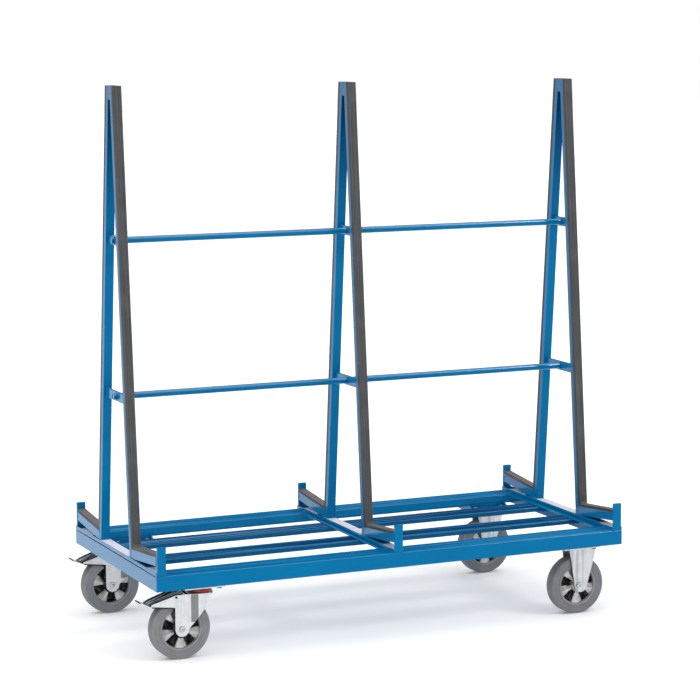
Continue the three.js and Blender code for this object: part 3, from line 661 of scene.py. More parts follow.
def pad_section():
    """Closed section of a strip, as places across it and layers out from its back."""
    half = PAD_WIDTH / 2
    rounding = quarter_turn(PAD_CORNER, PAD_CORNER_STEPS)
    corner = [(half - inward, PAD_THICKNESS - drop) for inward, drop in rounding]
    face = []
    for i in range(1, PAD_FACE_STEPS):
        across = (half - PAD_CORNER) * (1 - 2 * i / PAD_FACE_STEPS)
        face.append((across, PAD_THICKNESS - groove_depth(across)))
    far_corner = [(-across, layer) for across, layer in reversed(corner)]
    return [(-half, 0), (half, 0)] + corner + face + far_corner


def strip_rings(section, x, side, start, end, count):
    """Rings along a strip, with its end faces given as y and z for a layer out from the strip's back."""
    rings = []
    for k in range(count + 1):
        ring = []
        for across, layer in section:
            y, z = Vector(start(layer)).lerp(Vector(end(layer)), k / count)
            ring.append((x + across, SIDES[side] * y, z))
        rings.append(ring)
    return rings


def add_pad(node, side, look, start, end):
    rings = strip_rings(pad_section(), middle_of(node).x, side, start, end, PAD_RINGS)
    mesh = run_mesh(f"{node}_strip", rings, sharp=PAD_SHARP)
    add_piece(mesh, "chassis", "strip_rubber", look, replaces=node)


def add_post_pad(place, side):
    inside = POST_THICKNESS + SEAT_GAP
    foot = FOOT_BAR_HEIGHT + SEAT_GAP
    add_pad(
        f"{place}_{side}_post_pad", side, looks["strip_rubber"],
        lambda layer: corner_at(inside + layer, foot),
        lambda layer: (lean_face(POST_TOP, inside + layer), POST_TOP),
    )


def add_foot_pad(place, side):
    inside = POST_THICKNESS + SEAT_GAP + PAD_THICKNESS + SEAT_GAP
    foot = FOOT_BAR_HEIGHT + SEAT_GAP
    end = HALF_WIDTH - STOP_THICKNESS - SEAT_GAP
    add_pad(
        f"{place}_{side}_foot_pad", side, foot_rubber,
        lambda layer: corner_at(inside, foot + layer),
        lambda layer: (end, foot_face(end, foot + layer)),
    )


# Thin steel lips that hold each foot pad at its two sides
HOLD_HEIGHT = 5 * MM
HOLD_SUNK = 1 * MM
HOLD_SHEET = 0.8 * MM
HOLD_GAP = 0.1 * MM
HOLD_RINGS = 2


def add_pad_holder(place, side):
    middle = middle_of(f"{place}_{side}_foot_pad").x
    end = HALF_WIDTH - STOP_THICKNESS
    runs = []
    for edge in (-1, 1):
        inner = edge * (PAD_WIDTH / 2 + HOLD_GAP)
        outer = inner + edge * HOLD_SHEET
        shoulder = HOLD_HEIGHT - HOLD_SHEET
        rings = strip_rings(
            ((inner, -HOLD_SUNK), (outer, -HOLD_SUNK), (outer, shoulder), (inner, HOLD_HEIGHT)),
            middle, side,
            lambda layer: corner_at(POST_THICKNESS, FOOT_BAR_HEIGHT + layer),
            lambda layer: (end, foot_face(end, FOOT_BAR_HEIGHT + layer)),
            HOLD_RINGS,
        )
        runs.append(rings)
    add_piece(run_mesh(f"{place}_{side}_pad_holder", *runs), "chassis", "blue_paint")


# Rounded corner between a post pad and its foot pad, where the rubber is bent
BEND_RADIUS = 11 * MM
BEND_STEPS = 6
BEND_INSET = 0.2 * MM


def bend_section():
    """Closed section of the corner filler, as y and z."""
    lean = POST_THICKNESS + SEAT_GAP + PAD_THICKNESS - PAD_GROOVE_DEPTH
    foot = FOOT_BAR_HEIGHT + SEAT_GAP + PAD_THICKNESS - PAD_GROOVE_DEPTH
    points = [corner_at(lean, foot)]
    for out, up in quarter_turn(BEND_RADIUS + PAD_GROOVE_DEPTH, BEND_STEPS):
        points.append(corner_at(lean + max(out, BEND_INSET), foot + max(up, BEND_INSET)))
    return points


def crossing_rings(outline, places, sign):
    """Rings of one outline, given as y and z, at places along X."""
    return [[(x, sign * y, z) for y, z in outline] for x in places]


def add_pad_bend(place, side):
    middle = middle_of(f"{place}_{side}_post_pad").x
    reach = PAD_WIDTH / 2
    offsets = (-reach + PAD_CORNER, -reach / 2, 0, reach / 2, reach - PAD_CORNER)
    rings = crossing_rings(bend_section(), [middle + offset for offset in offsets], SIDES[side])
    mesh = run_mesh(f"{place}_{side}_pad_bend", rings, sharp=PAD_SHARP)
    add_piece(mesh, "chassis", "strip_rubber", foot_rubber)


# Tie tubes: round, with a plug set into each end
TUBE_WALL = 2 * MM
TUBE_STEPS = 48
TUBE_ROUNDING = 0.5 * MM
PLUG_DEPTH = 1.5 * MM
PLUG_ROUNDING = 0.3 * MM
PLUG_GAP = 0.2 * MM


def add_tie_tube(node):
    half = half_of(node).x
    radius = half_of(node).z
    end = [
        (radius - TUBE_WALL - PLUG_GAP, half - PLUG_DEPTH),
        (radius - TUBE_WALL, half - PLUG_ROUNDING),
        (radius - TUBE_WALL + PLUG_ROUNDING, half),
        (radius - TUBE_ROUNDING, half),
        (radius, half - TUBE_ROUNDING),
    ]
    mesh = turned_mesh(f"{node}_round", mirrored(end), TUBE_STEPS, solid=True)
    stand_in(node, mesh, ALONG_X, "blue_paint", tube_paint)


# Tyres: sidewall rings, small round shoulders and a darker, slightly crowned tread
TYRE_STEPS = 120
TYRE_INSIDE = 67.3 * MM
TYRE_SHOULDER = 6 * MM
SHOULDER_STEPS = 8
SHOULDER_DROP = 0.3 * MM
CROWN_DROP = 0.1 * MM
TREAD_START = 4.5 * MM
# Millimetres out from the tyre's inside, each with its depth under the tyre's widest part
TYRE_SIDE = (
    (0, 2.0), (1.6, 0.9), (3.4, 0.9), (4.2, 0.1), (6.6, 0), (7.4, 0.7), (12, 1.1), (18, 0.8), (22, 0.1),
)


def tyre_profile(outside, half):
    side = [(TYRE_INSIDE + out * MM, half - depth * MM) for out, depth in TYRE_SIDE]
    for inward, drop in quarter_turn(TYRE_SHOULDER, SHOULDER_STEPS):
        side.append((outside - SHOULDER_DROP - drop, half - inward))
    side.append((outside - CROWN_DROP, half / 3))
    return mirrored(side)


def add_tyre(wheel):
    node = f"{wheel}_tyre"
    outside = half_of(node).z
    half = half_of(node).y
    mesh = turned_mesh(f"{node}_round", tyre_profile(outside, half), TYRE_STEPS)
    for face in mesh.polygons:
        radius = math.hypot(face.center.x, face.center.y)
        on_tread = abs(face.center.z) < half - TREAD_START and radius > outside - TYRE_SHOULDER
        face.material_index = int(on_tread)
    # The fixed castors' tyres get the darker sidewalls of painted shade
    side_look = shaded_tyre_side if "fixed" in wheel else looks["tyre_grey"]
    stand_in(node, mesh, ALONG_Y, "tyre_grey", side_look, tread_rubber)


# Rims, in millimetres: five creased, fan-shaped spokes over pockets in painted shade, a thin lip and a raised hub
SPOKES = 5
STEPS_PER_SPOKE = 28
SPOKE_SHARE = 0.42
SPOKE_FAN = 0.13
SPOKE_DOWN = math.pi / 2
SPOKE_CREASE = 0.085
HUB_RADII = (15.3, 15.7, 20.6, 21.8, 22.4)
WEB_RADII = (24.0, 25.4, 27.0, 29.5, 33, 37, 41, 45, 49, 53, 56.5, 59.5, 61.6, 63.2)
LIP_RADII = (64.2, 64.8, 66.4, 67.0)
RIM_RADII = HUB_RADII + WEB_RADII + LIP_RADII
HUB_HEIGHT = 25.0
HUB_CHAMFER = 0.9
LIP_HEIGHT = 20.4
LIP_CHAMFER = 1.0
SPOKE_HEIGHT = 13.0
SPOKE_DISH = 2.0
POCKET_DEPTH = 10.0
POCKET_RADII = (24.2, 63.6)
POCKET_SLOPES = (2.4, 1.6)
POCKET_SIDE_SLOPE = 1.8
WALL_SHARE = 0.2
FLOOR_SHARE = 0.9
RIM_SHARP = 30


def smooth_step(value):
    value = min(1.0, max(0.0, value))
    return value * value * (3 - 2 * value)


def web_share(radius):
    """0 at the inside of the spokes and 1 at their outside."""
    return (radius - WEB_RADII[0]) / (WEB_RADII[-1] - WEB_RADII[0])


def spoke_offset(turn):
    """Angle from the middle of the nearest spoke."""
    step = 2 * math.pi / SPOKES
    return abs((turn + step / 2) % step - step / 2)


def spoke_edge(radius):
    """Angle from a spoke's middle to its edge, wider towards the lip."""
    return (SPOKE_SHARE + SPOKE_FAN * web_share(radius)) * math.pi / SPOKES


def pocket_share(radius, turn):
    """1 in the middle of a pocket and 0 on a spoke, the hub or the lip."""
    across = smooth_step((spoke_offset(turn) - spoke_edge(radius)) * radius / POCKET_SIDE_SLOPE)
    inner = smooth_step((radius - POCKET_RADII[0]) / POCKET_SLOPES[0])
    outer = smooth_step((POCKET_RADII[1] - radius) / POCKET_SLOPES[1])
    return across * inner * outer


def rim_height(radius, turn):
    """Height of the rim's outer face over its middle."""
    if radius in HUB_RADII:
        return HUB_HEIGHT - HUB_CHAMFER * (radius in (HUB_RADII[0], HUB_RADII[-1]))
    if radius in LIP_RADII:
        return LIP_HEIGHT - LIP_CHAMFER * (radius in (LIP_RADII[0], LIP_RADII[-1]))
    crease = SPOKE_CREASE * radius * max(0.0, 1 - spoke_offset(turn) / spoke_edge(radius))
    dish = SPOKE_DISH * (1 - web_share(radius))
    return SPOKE_HEIGHT + crease + dish - POCKET_DEPTH * pocket_share(radius, turn)


def rim_finish(radius, turn):
    """Which finish a face has: 0 on spokes and hub, 1 on a pocket's wall, 2 on its floor, 3 on the lip."""
    share = pocket_share(radius, turn)
    return 3 if radius > WEB_RADII[-1] else int(share > WALL_SHARE) + int(share > FLOOR_SHARE)


def rim_mesh(name, phase):
    steps = SPOKES * STEPS_PER_SPOKE
    build = bmesh.new()
    sides = []
    for side in (1, -1):
        rings = []
        for radius in RIM_RADII:
            ring = []
            for i in range(steps):
                turn = 2 * math.pi * i / steps
                height = side * rim_height(radius, turn)
                spot = Vector((radius * math.cos(turn + phase), radius * math.sin(turn + phase), height))
                ring.append(build.verts.new(spot * MM))
            rings.append(ring)
        sides.append(rings)
        for index, face in enumerate(skin(build, rings)):
            k, i = divmod(index, steps)
            radius = (RIM_RADII[k] + RIM_RADII[k + 1]) / 2
            face.material_index = rim_finish(radius, 2 * math.pi * (i + 0.5) / steps)
    upper, lower = sides
    for k in (0, -1):
        skin(build, [upper[k], lower[k]])
    return finished_mesh(name, build, RIM_SHARP)


def add_rim(wheel, phase):
    node = f"{wheel}_rim"
    finishes = (looks["rim_aluminium"], wall_look, pocket_look, lip_look)
    stand_in(node, rim_mesh(f"{node}_spoked", phase), ALONG_Y, "rim_aluminium", *finishes)


# Bearings and axles
BEARING_STEPS = 48
AXLE_STEPS = 40
AXLE_RADIUS = 6 * MM
AXLE_HEAD = 8 * MM
AXLE_TIP = 1.6 * MM
WASHER_RADIUS = 11 * MM
WASHER_HEIGHT = 1.6 * MM
WASHER_CHAMFER = 0.4 * MM
NUT_ACROSS = 21 * MM
NUT_HEIGHT = 4.6 * MM
HEX_CHAMFER = 0.9 * MM
# Radii of the bearing's end face in millimetres, each with its depth
BEARING_END = ((6.3, 1.0), (7, 0), (9.4, 0), (9.8, 1.4), (12.6, 1.4), (13, 0), (14.4, 0), (15, 0.7))


def add_bearing(wheel):
    node = f"{wheel}_bearing"
    end = [(radius * MM, half_of(node).y - depth * MM) for radius, depth in BEARING_END]
    mesh = turned_mesh(f"{node}_shielded", mirrored(end), BEARING_STEPS)
    stand_in(node, mesh, ALONG_Y, "bearing_steel")


def add_axle(wheel):
    node = f"{wheel}_axle"
    half = half_of(node).y
    seat = half - AXLE_HEAD
    end = [
        (AXLE_RADIUS * 0.3, half),
        (AXLE_RADIUS * 0.75, half - AXLE_TIP / 4),
        (AXLE_RADIUS, half - AXLE_TIP),
        (AXLE_RADIUS, seat + WASHER_HEIGHT),
        (WASHER_RADIUS - WASHER_CHAMFER, seat + WASHER_HEIGHT),
        (WASHER_RADIUS, seat + WASHER_HEIGHT - WASHER_CHAMFER),
        (WASHER_RADIUS, seat),
        (AXLE_RADIUS, seat),
    ]
    mesh = turned_mesh(f"{node}_turned", mirrored(end), AXLE_STEPS, solid=True)
    stand_in(node, mesh, ALONG_Y, "bearing_steel")
    for label, sign in SIDES.items():
        nut = hex_mesh(f"{node}_{label}_nut", NUT_ACROSS, NUT_HEIGHT, HEX_CHAMFER)
        spot = middle_of(node) + AXIS_Y * sign * (seat + AXLE_HEAD / 2)
        add_piece(nut, body_of(node), "zinc", where=spot, turn=ALONG_Y)


# Castor plates: dust seals round the races, and bolt heads below the plates
BOLT_OFFSET_X = 52.5 * MM
BOLT_OFFSET_Y = 40 * MM
BOLT_HEAD_ACROSS = 18.5 * MM
BOLT_HEAD_HEIGHT = 5.4 * MM
HEAD_GAP = 0.1 * MM
CASTOR_PLATE = 6 * MM
SEAL_STEPS = 72
SEAL_INSIDE = 36.3 * MM
# Millimetres out from the seal's inside, each with its drop under the plate
SEAL_SECTION = (
    (0, 0.4), (0, 17.2), (1.4, 17.6), (3.0, 15.4), (3.2, 12.0), (2.4, 8.0), (1.6, 3.5), (1.2, 0.4),
)


def plate_bottom(castor):
    """Middle of a castor's plate, at the height of its underside."""
    plate = f"{castor}_plate" if "swivel" in castor else f"{castor}_fork"
    return Vector((middle_of(plate).x, middle_of(plate).y, FRAME_BOTTOM - CASTOR_PLATE))


def add_seal(side):
    profile = [(SEAL_INSIDE + out * MM, -drop * MM) for out, drop in SEAL_SECTION]
    mesh = turned_mesh(f"{side}_dust_seal", profile, SEAL_STEPS)
    add_piece(mesh, "chassis", "strip_rubber", seal_look, where=plate_bottom(f"{side}_swivel"))


def add_plate_bolts(castor):
    drop = -HEAD_GAP - BOLT_HEAD_HEIGHT / 2
    for i in (-1, 1):
        for j in (-1, 1):
            name = f"{castor}_bolt_head_{i + 1}{j + 1}"
            mesh = hex_mesh(name, BOLT_HEAD_ACROSS, BOLT_HEAD_HEIGHT, HEX_CHAMFER)
            spot = plate_bottom(castor) + Vector((i * BOLT_OFFSET_X, j * BOLT_OFFSET_Y, drop))
            add_piece(mesh, "chassis", "bearing_steel", wall_look, where=spot)


# Weld beads: rippled runs of filler, painted over with the frame
BEAD_SIDES = 8
BEAD_STEP = 1.3 * MM
BEAD_RIPPLE = 0.16
BEAD_RIPPLE_TURN = 2.1
BEAD_TIP = 0.35
BEAD_TAPER = 6
BEAD_RADIUS = 1.7 * MM
BEAD_SHARP = 60
STITCH_STARTS = (330 * MM, 372 * MM)
STITCH_LENGTH = 26 * MM
STOP_BEAD_START = 2 * MM


def add_bead(build, start, end):
    start, end = Vector(start), Vector(end)
    along = (end - start).normalized()
    across = along.orthogonal().normalized()
    up = along.cross(across)
    count = max(4, round((end - start).length / BEAD_STEP))
    rings = []
    for k in range(count + 1):
        share = k / count
        taper = min(1.0, BEAD_TIP + BEAD_TAPER * min(share, 1 - share))
        size = BEAD_RADIUS * taper * (1 + BEAD_RIPPLE * math.sin(BEAD_RIPPLE_TURN * k))
        rings.append(circle_points(build, start.lerp(end, share), across, up, size, BEAD_SIDES))
    skin(build, rings, caps=True)


def post_beads(build, place, sign):
    """Beads round the foot of a post, and up both sides of the stop at the end of its foot bar."""
    left, right = low_of(f"{place}_rear_post").x, high_of(f"{place}_rear_post").x
    near = sign * lean_face(BAR_TOP, 0)
    stop = HALF_WIDTH - STOP_THICKNESS
    heights = (foot_face(stop, STOP_BEAD_START), foot_face(stop, FOOT_BAR_HEIGHT))
    for x in (left, right):
        add_bead(build, (x, near, BAR_TOP), (x, sign * POST_FOOT, BAR_TOP))
    add_bead(build, (left, near, BAR_TOP), (right, near, BAR_TOP))
    for x in (left, right):
        add_bead(build, *[(x, sign * stop, z) for z in heights])


def spreader_beads(build, place, level, sign):
    low, high = low_of(f"{place}_{level}_spreader"), high_of(f"{place}_{level}_spreader")
    for x in (low.x, high.x):
        add_bead(build, *[(x, sign * lean_face(z, -SEAT_GAP), z) for z in (low.z, high.z)])


def bar_beads(build, place, sign):
    left, right = low_of(f"{place}_foot_beam").x, high_of(f"{place}_foot_beam").x
    for x in {"left": (right,), "centre": (left, right), "right": (left,)}[place]:
        for start in STITCH_STARTS:
            add_bead(build, *[(x, sign * y, DECK_TOP) for y in (start, start + STITCH_LENGTH)])


def add_welds():
    build = bmesh.new()
    for place in PLACES:
        for sign in SIDES.values():
            post_beads(build, place, sign)
            bar_beads(build, place, sign)
            for level in ("upper", "lower"):
                spreader_beads(build, place, level, sign)
    add_piece(finished_mesh("weld_beads", build, BEAD_SHARP), "chassis", "blue_paint")


# Closed tops of the A-frames, where the two posts are welded together and ground flush
CROWN_DEPTH = 46 * MM
CROWN_STEPS = 6
CROWN_INSET = 0.3 * MM
CROWN_TAPER = 2 * MM


def add_crown(place):
    node = f"{place}_rear_post"
    middle = middle_of(node).x
    rings = []
    for k in range(CROWN_STEPS + 1):
        z = POST_TOP - CROWN_INSET - CROWN_DEPTH * k / CROWN_STEPS
        reach = lean_face(z, 0)
        half = half_of(node).x - CROWN_INSET - CROWN_TAPER * (k == CROWN_STEPS)
        corners = ((-half, -reach), (half, -reach), (half, reach), (-half, reach))
        rings.append([(middle + across, y, z) for across, y in corners])
    add_piece(run_mesh(f"{place}_post_crown", rings), "chassis", "blue_paint", rear_post_paint)


# Painted shade: a dark strip in the joint between each end rail and the bar that lies on it, standing in for the
# shadow in the groove there
SEAM_HEIGHT = 2.2 * MM
SEAM_DROP = 2.4 * MM
SEAM_PROUD = 0.15 * MM
SEAM_SHARES = (-0.98, -0.5, 0, 0.5, 0.98)
SEAM_OUTLINE = ((-1, -0.5), (0.4, -0.5), (1, -0.25), (1, 0.25), (0.4, 0.5), (-1, 0.5))


def add_seam(end, out):
    rail = f"{end}_end_rail"
    face = low_of(rail).x if out < 0 else high_of(rail).x
    outline = []
    for proud, height in SEAM_OUTLINE:
        outline.append((face + out * proud * SEAM_PROUD, DECK_TOP - SEAM_DROP + height * SEAM_HEIGHT))
    rings = [[(x, share * HALF_WIDTH, z) for x, z in outline] for share in SEAM_SHARES]
    add_piece(run_mesh(f"{end}_end_seam", rings), "chassis", "strip_rubber", pocket_look)


# Closing webs of the castor brackets, under the inner lips of the rails
RAIL_FLANGE = 90 * MM
WEB_THICKNESS = 4 * MM
WEB_HALF = 69 * MM
WEB_TOP = 26 * MM
WEB_BOTTOM = 43 * MM
WEB_INSET = 1 * MM
WEB_RIDGE = 1 * MM
WEB_SHARES = (-1, -0.5, 0, 0.5, 1)


def add_web(castor):
    under = plate_bottom(castor)
    near = HALF_WIDTH - RAIL_FLANGE + WEB_INSET
    far = near + WEB_THICKNESS
    bottom = DECK_TOP - WEB_BOTTOM
    top = DECK_TOP - WEB_TOP
    outline = (
        (near, bottom), (far, bottom), (far, top), (near + WEB_THICKNESS / 2, top + WEB_RIDGE), (near, top),
    )
    places = [under.x + share * WEB_HALF for share in WEB_SHARES]
    rings = crossing_rings(outline, places, math.copysign(1, under.y))
    add_piece(run_mesh(f"{castor}_bracket_web", rings), "chassis", "blue_paint")


# Brake pedals: a sloping tread, a sleeve round the pin and a short lip at the toe, measured from the pin
PEDAL_REACH = 92 * MM
PEDAL_DROP = 35 * MM
PEDAL_FLAT_START = 8 * MM
PEDAL_TAIL = 24 * MM
PEDAL_TAIL_DROP = 4 * MM
PEDAL_DEPTH = 13 * MM
PEDAL_TIP_BEVEL = 14 * MM
PEDAL_TIP_DEPTH = 9 * MM
TOE_STEP = 5 * MM
LIP_REACH = 27 * MM
LIP_RISE = 10 * MM
LIP_EDGE = 5 * MM
LIP_THICKNESS = 2.5 * MM
LIP_DROP = 3 * MM
SLEEVE_INSIDE = 4.4 * MM
SLEEVE_OUTSIDE = 7 * MM
SLEEVE_STEPS = 32
TREAD_OUTLINE = (
    (PEDAL_FLAT_START, 0),
    (-PEDAL_REACH, -PEDAL_DROP),
    (-PEDAL_REACH, -PEDAL_DROP - TOE_STEP),
    (-PEDAL_REACH + PEDAL_TIP_BEVEL, -PEDAL_DROP - PEDAL_TIP_DEPTH),
    (-SLEEVE_OUTSIDE, -PEDAL_DEPTH),
    (PEDAL_TAIL, -PEDAL_DEPTH),
    (PEDAL_TAIL, -PEDAL_TAIL_DROP),
    (PEDAL_TAIL - PEDAL_TAIL_DROP, 0),
)
LIP_OUTLINE = (
    (-PEDAL_REACH, -PEDAL_DROP - LIP_DROP),
    (-PEDAL_REACH - LIP_REACH, -PEDAL_DROP + LIP_RISE),
    (-PEDAL_REACH - LIP_REACH, -PEDAL_DROP + LIP_RISE - LIP_EDGE),
    (-PEDAL_REACH, -PEDAL_DROP - LIP_DROP - LIP_THICKNESS),
)
# The second face of either outline, at its toe, gets painted shade
TOE_FACE = 1
TOE_SHADE_FINISH = 1


def pedal_pin(side):
    joint = next(joint for joint in frame["joints"] if joint["child"] == f"{side}_pedal")
    return Vector(joint["pos_m"])


def pedal_rings(side, outline):
    """An outline at both sides of a pedal, with x from its pin and z from its top."""
    low, high = low_of(f"{side}_brake_pedal"), high_of(f"{side}_brake_pedal")
    pin = pedal_pin(side)
    return [[(pin.x + x, y, high.z + z) for x, z in outline] for y in (low.y, high.y)]


def add_pedal(side):
    node = f"{side}_brake_pedal"
    pin = pedal_pin(side)
    ends = (low_of(node).y, high_of(node).y)
    build = bmesh.new()
    tread_faces = add_run(build, pedal_rings(side, TREAD_OUTLINE))
    # Painted shade on the toe face
    tread_faces[TOE_FACE].material_index = TOE_SHADE_FINISH
    sleeve = []
    for radius, order in ((SLEEVE_OUTSIDE, ends), (SLEEVE_INSIDE, ends[::-1])):
        for y in order:
            centre = Vector((pin.x, y, pin.z))
            sleeve.append(circle_points(build, centre, AXIS_X, AXIS_Z, radius, SLEEVE_STEPS))
    skin(build, sleeve, closed_along=True)
    mesh = finished_mesh(f"{node}_pressed", build)
    add_piece(mesh, body_of(node), "pedal_black", looks["pedal_black"], pocket_look, replaces=node)


def add_pedal_lip(side):
    node = f"{side}_brake_pedal"
    mesh = run_mesh(f"{node}_lip", pedal_rings(side, LIP_OUTLINE))
    mesh.polygons[TOE_FACE].material_index = TOE_SHADE_FINISH
    add_piece(mesh, body_of(node), "zinc", looks["zinc"], pocket_look)


# Ribs along the tread of each brake pedal
RIB_PLACES = (-22 * MM, 0, 22 * MM)
RIB_WIDTH = 5 * MM
RIB_HEIGHT = 2.6 * MM
RIB_SHOULDER = RIB_HEIGHT * 0.55
RIB_SUNK = 1 * MM
RIB_SHARP = 40
# Millimetres from the pin, each with how far the rib sinks there
RIB_RUN = ((2, 3), (8, 0), (66, 0), (74, 0), (84, 0), (90, 3))


def rib_ring(x, y, z):
    half = RIB_WIDTH / 2
    outline = (
        (-half, -RIB_SUNK), (half, -RIB_SUNK), (half, RIB_SHOULDER),
        (half / 2, RIB_HEIGHT), (-half / 2, RIB_HEIGHT), (-half, RIB_SHOULDER),
    )
    return [(x, y + across, z + rise) for across, rise in outline]


def add_pedal_ribs(side):
    node = f"{side}_brake_pedal"
    slope = PEDAL_DROP / (PEDAL_REACH + PEDAL_FLAT_START)
    runs = []
    for place in RIB_PLACES:
        rings = []
        for reach, sink in RIB_RUN:
            z = high_of(node).z - (reach * MM + PEDAL_FLAT_START) * slope - sink * MM
            rings.append(rib_ring(pedal_pin(side).x - reach * MM, middle_of(node).y + place, z))
        runs.append(rings)
    add_piece(run_mesh(f"{node}_ribs", *runs, sharp=RIB_SHARP), body_of(node), "pedal_black")


# Heads of the pedal pins, outside the fork legs
FORK_HALF = 32.5 * MM
PIN_STEPS = 24
PIN_HEAD_RADIUS = 4 * MM
PIN_HEAD = (
    (PIN_HEAD_RADIUS, 0),
    (PIN_HEAD_RADIUS, 0.6 * MM),
    (PIN_HEAD_RADIUS * 0.8, 1.3 * MM),
    (PIN_HEAD_RADIUS * 0.3, 1.6 * MM),
)


def add_pin_heads(side):
    body = body_of(f"{side}_swivel_fork")
    for label, sign in SIDES.items():
        mesh = turned_mesh(f"{side}_pedal_pin_{label}", PIN_HEAD, PIN_STEPS, solid=True)
        spot = pedal_pin(side) + AXIS_Y * sign * (FORK_HALF + HEAD_GAP)
        outward = (-sign * math.pi / 2, 0, 0)
        add_piece(mesh, body, "pedal_black", pocket_look, where=spot, turn=outward)


# Painted shade: thin dark strips inside the legs of the swivel forks, just past their edges, standing in for the
# shadow there
HORN_TIP = (-101 * MM, 183.5 * MM)
HORN_ROOT = (-24 * MM, 174 * MM)
LEG_RADIUS = 24 * MM
LEG_STEPS = 14
LEG_SWEEP = math.radians(150)
LINER_PAST = 5 * MM
LINER_UNDER = 2 * MM
LINER_LAYERS = (27.1 * MM, 28.1 * MM)
LINER_SHARP = 50


def liner_path(wheel_height):
    """Points along the leg's lower edge, each with the way out from it, as x and z from below the axle."""
    fall = (HORN_TIP[1] - HORN_ROOT[1]) / (HORN_ROOT[0] - HORN_TIP[0])
    path = [(HORN_TIP, (0, -1)), (HORN_ROOT, (-1, fall - 1))]
    for i in range(LEG_STEPS + 1):
        turn = math.pi + LEG_SWEEP * i / LEG_STEPS
        out = (math.cos(turn), math.sin(turn))
        path.append(((LEG_RADIUS * out[0], wheel_height + LEG_RADIUS * out[1]), out))
    return path


def add_shadow_liner(side, label):
    wheel = middle_of(f"{side}_swivel_tyre")
    rings = []
    for (x, z), (out_x, out_z) in liner_path(wheel.z):
        ring = []
        for reach, layers in ((LINER_PAST, LINER_LAYERS), (-LINER_UNDER, LINER_LAYERS[::-1])):
            for layer in layers:
                y = wheel.y + SIDES[label] * layer
                ring.append((wheel.x + x + reach * out_x, y, z + reach * out_z))
        rings.append(ring)
    mesh = run_mesh(f"{side}_shadow_liner_{label}", rings, sharp=LINER_SHARP)
    add_piece(mesh, body_of(f"{side}_swivel_fork"), "pedal_black", pocket_look)


dress_nodes()
for place in PLACES:
    add_crown(place)
    for side in SIDES:
        add_post_pad(place, side)
        add_foot_pad(place, side)
        add_pad_holder(place, side)
        add_pad_bend(place, side)
for tube in ("upper_tie_tube", "lower_tie_tube"):
    add_tie_tube(tube)
for wheel in WHEELS:
    add_tyre(wheel)
    add_rim(wheel, SPOKE_DOWN + (math.pi / SPOKES if wheel == "rear_swivel" else 0))
    add_bearing(wheel)
    add_axle(wheel)
    add_plate_bolts(wheel)
    add_web(wheel)
for side in SIDES:
    add_seal(side)
    add_pedal(side)
    add_pedal_lip(side)
    add_pedal_ribs(side)
    add_pin_heads(side)
    # Painted shade: dark strips inside the fork legs
    for label in SIDES:
        add_shadow_liner(side, label)
add_seam("left", -1)
add_seam("right", 1)
add_welds()


# Camera at the photograph's viewing angle
CAMERA_PLACE = (-3.4384, -7.6821, 2.0712)
CAMERA_AZIMUTH = math.radians(24.342)
CAMERA_PITCH = math.radians(6.918)
CAMERA_ROLL = math.radians(-0.16)
CAMERA_LENS = 127.83
CAMERA_SENSOR = 36
CAMERA_SHIFT = -0.0563


def add_camera():
    data = bpy.data.cameras.new("camera")
    data.sensor_width = CAMERA_SENSOR
    data.lens = CAMERA_LENS
    data.shift_y = CAMERA_SHIFT
    camera = bpy.data.objects.new("camera", data)
    turn = Matrix.Rotation(-CAMERA_AZIMUTH, 4, "Z")
    tilt = Matrix.Rotation(math.pi / 2 - CAMERA_PITCH, 4, "X")
    roll = Matrix.Rotation(CAMERA_ROLL, 4, "Z")
    camera.matrix_world = Matrix.Translation(CAMERA_PLACE) @ turn @ tilt @ roll
    bpy.context.scene.collection.objects.link(camera)
    bpy.context.scene.camera = camera


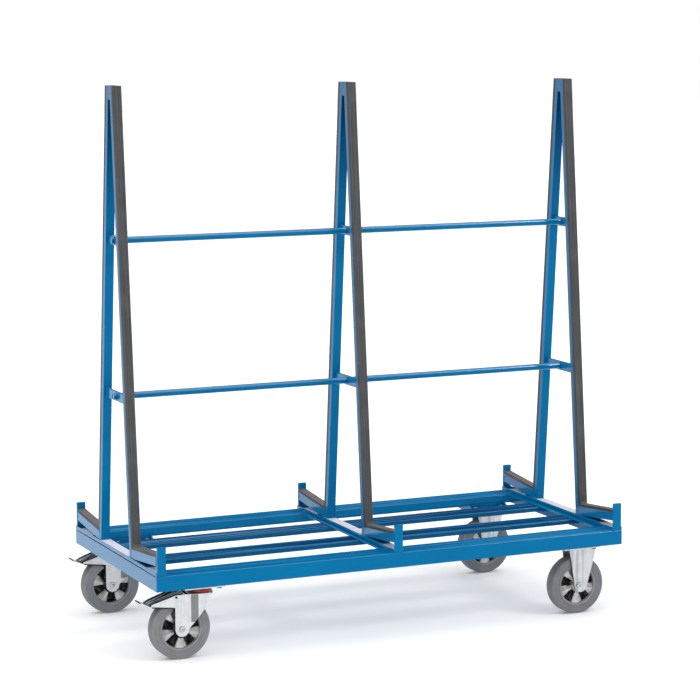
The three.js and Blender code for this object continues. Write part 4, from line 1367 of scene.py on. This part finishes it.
# Pale studio: white below and at the horizon, dim walls, a bright ceiling, a pale floor and soft lamps
SKY_STOPS = (
    (-1.0, (1.0, 1.0, 1.0)),
    (0.03, (1.0, 1.0, 1.0)),
    (0.1, (0.18, 0.185, 0.195)),
    (0.42, (0.22, 0.225, 0.235)),
    (0.66, (1.35, 1.35, 1.35)),
)
FLOOR_HALF = 40
FLOOR_CELLS = 8
FLOOR_WHITE = ((0.95, 0.953, 0.957), (0.965, 0.968, 0.972))


def add_world():
    recipe = Recipe("studio", bpy.data.worlds, "Background")
    bpy.context.scene.world = recipe.owner
    height = recipe.part_of(recipe.node("TexCoord").outputs["Generated"], "Z")
    ramp = recipe.node("ValToRGB", {"Fac": recipe.ranged(height, 0, 1, -1, 1)})
    stops = ramp.color_ramp.elements
    while len(stops) < len(SKY_STOPS):
        stops.new(1)
    for stop, (rise, colour) in zip(stops, SKY_STOPS):
        stop.position = (rise + 1) / 2
        stop.color = (*colour, 1)
    recipe.feed(ramp.outputs["Color"], "Color")


def add_sun(name, towards, power, spread):
    data = bpy.data.lights.new(name, "SUN")
    data.energy = power
    data.angle = math.radians(spread)
    lamp = bpy.data.objects.new(name, data)
    lamp.rotation_euler = Vector(towards).to_track_quat("-Z", "Y").to_euler()
    bpy.context.scene.collection.objects.link(lamp)


def add_floor():
    recipe = Recipe("studio_floor")
    recipe.feed(recipe.mixed(recipe.noise(3, 2), *FLOOR_WHITE), "Base Color")
    recipe.set(Roughness=0.9, Emission_Color=(1, 1, 1, 1), Emission_Strength=0.1)
    build = bmesh.new()
    bmesh.ops.create_grid(build, x_segments=FLOOR_CELLS, y_segments=FLOOR_CELLS, size=FLOOR_HALF)
    mesh = bpy.data.meshes.new("studio_floor")
    build.to_mesh(mesh)
    build.free()
    mesh.materials.append(recipe.owner)
    floor = bpy.data.objects.new("studio_floor", mesh)
    bpy.context.scene.collection.objects.link(floor)


add_camera()
add_world()
add_sun("key_right", towards=(-0.6, 0.6, -0.7), power=0.6, spread=12)
add_sun("fill_left", towards=(0.95, 0.3, -0.45), power=0.8, spread=70)
add_floor()
bpy.context.scene.view_settings.view_transform = "Standard"
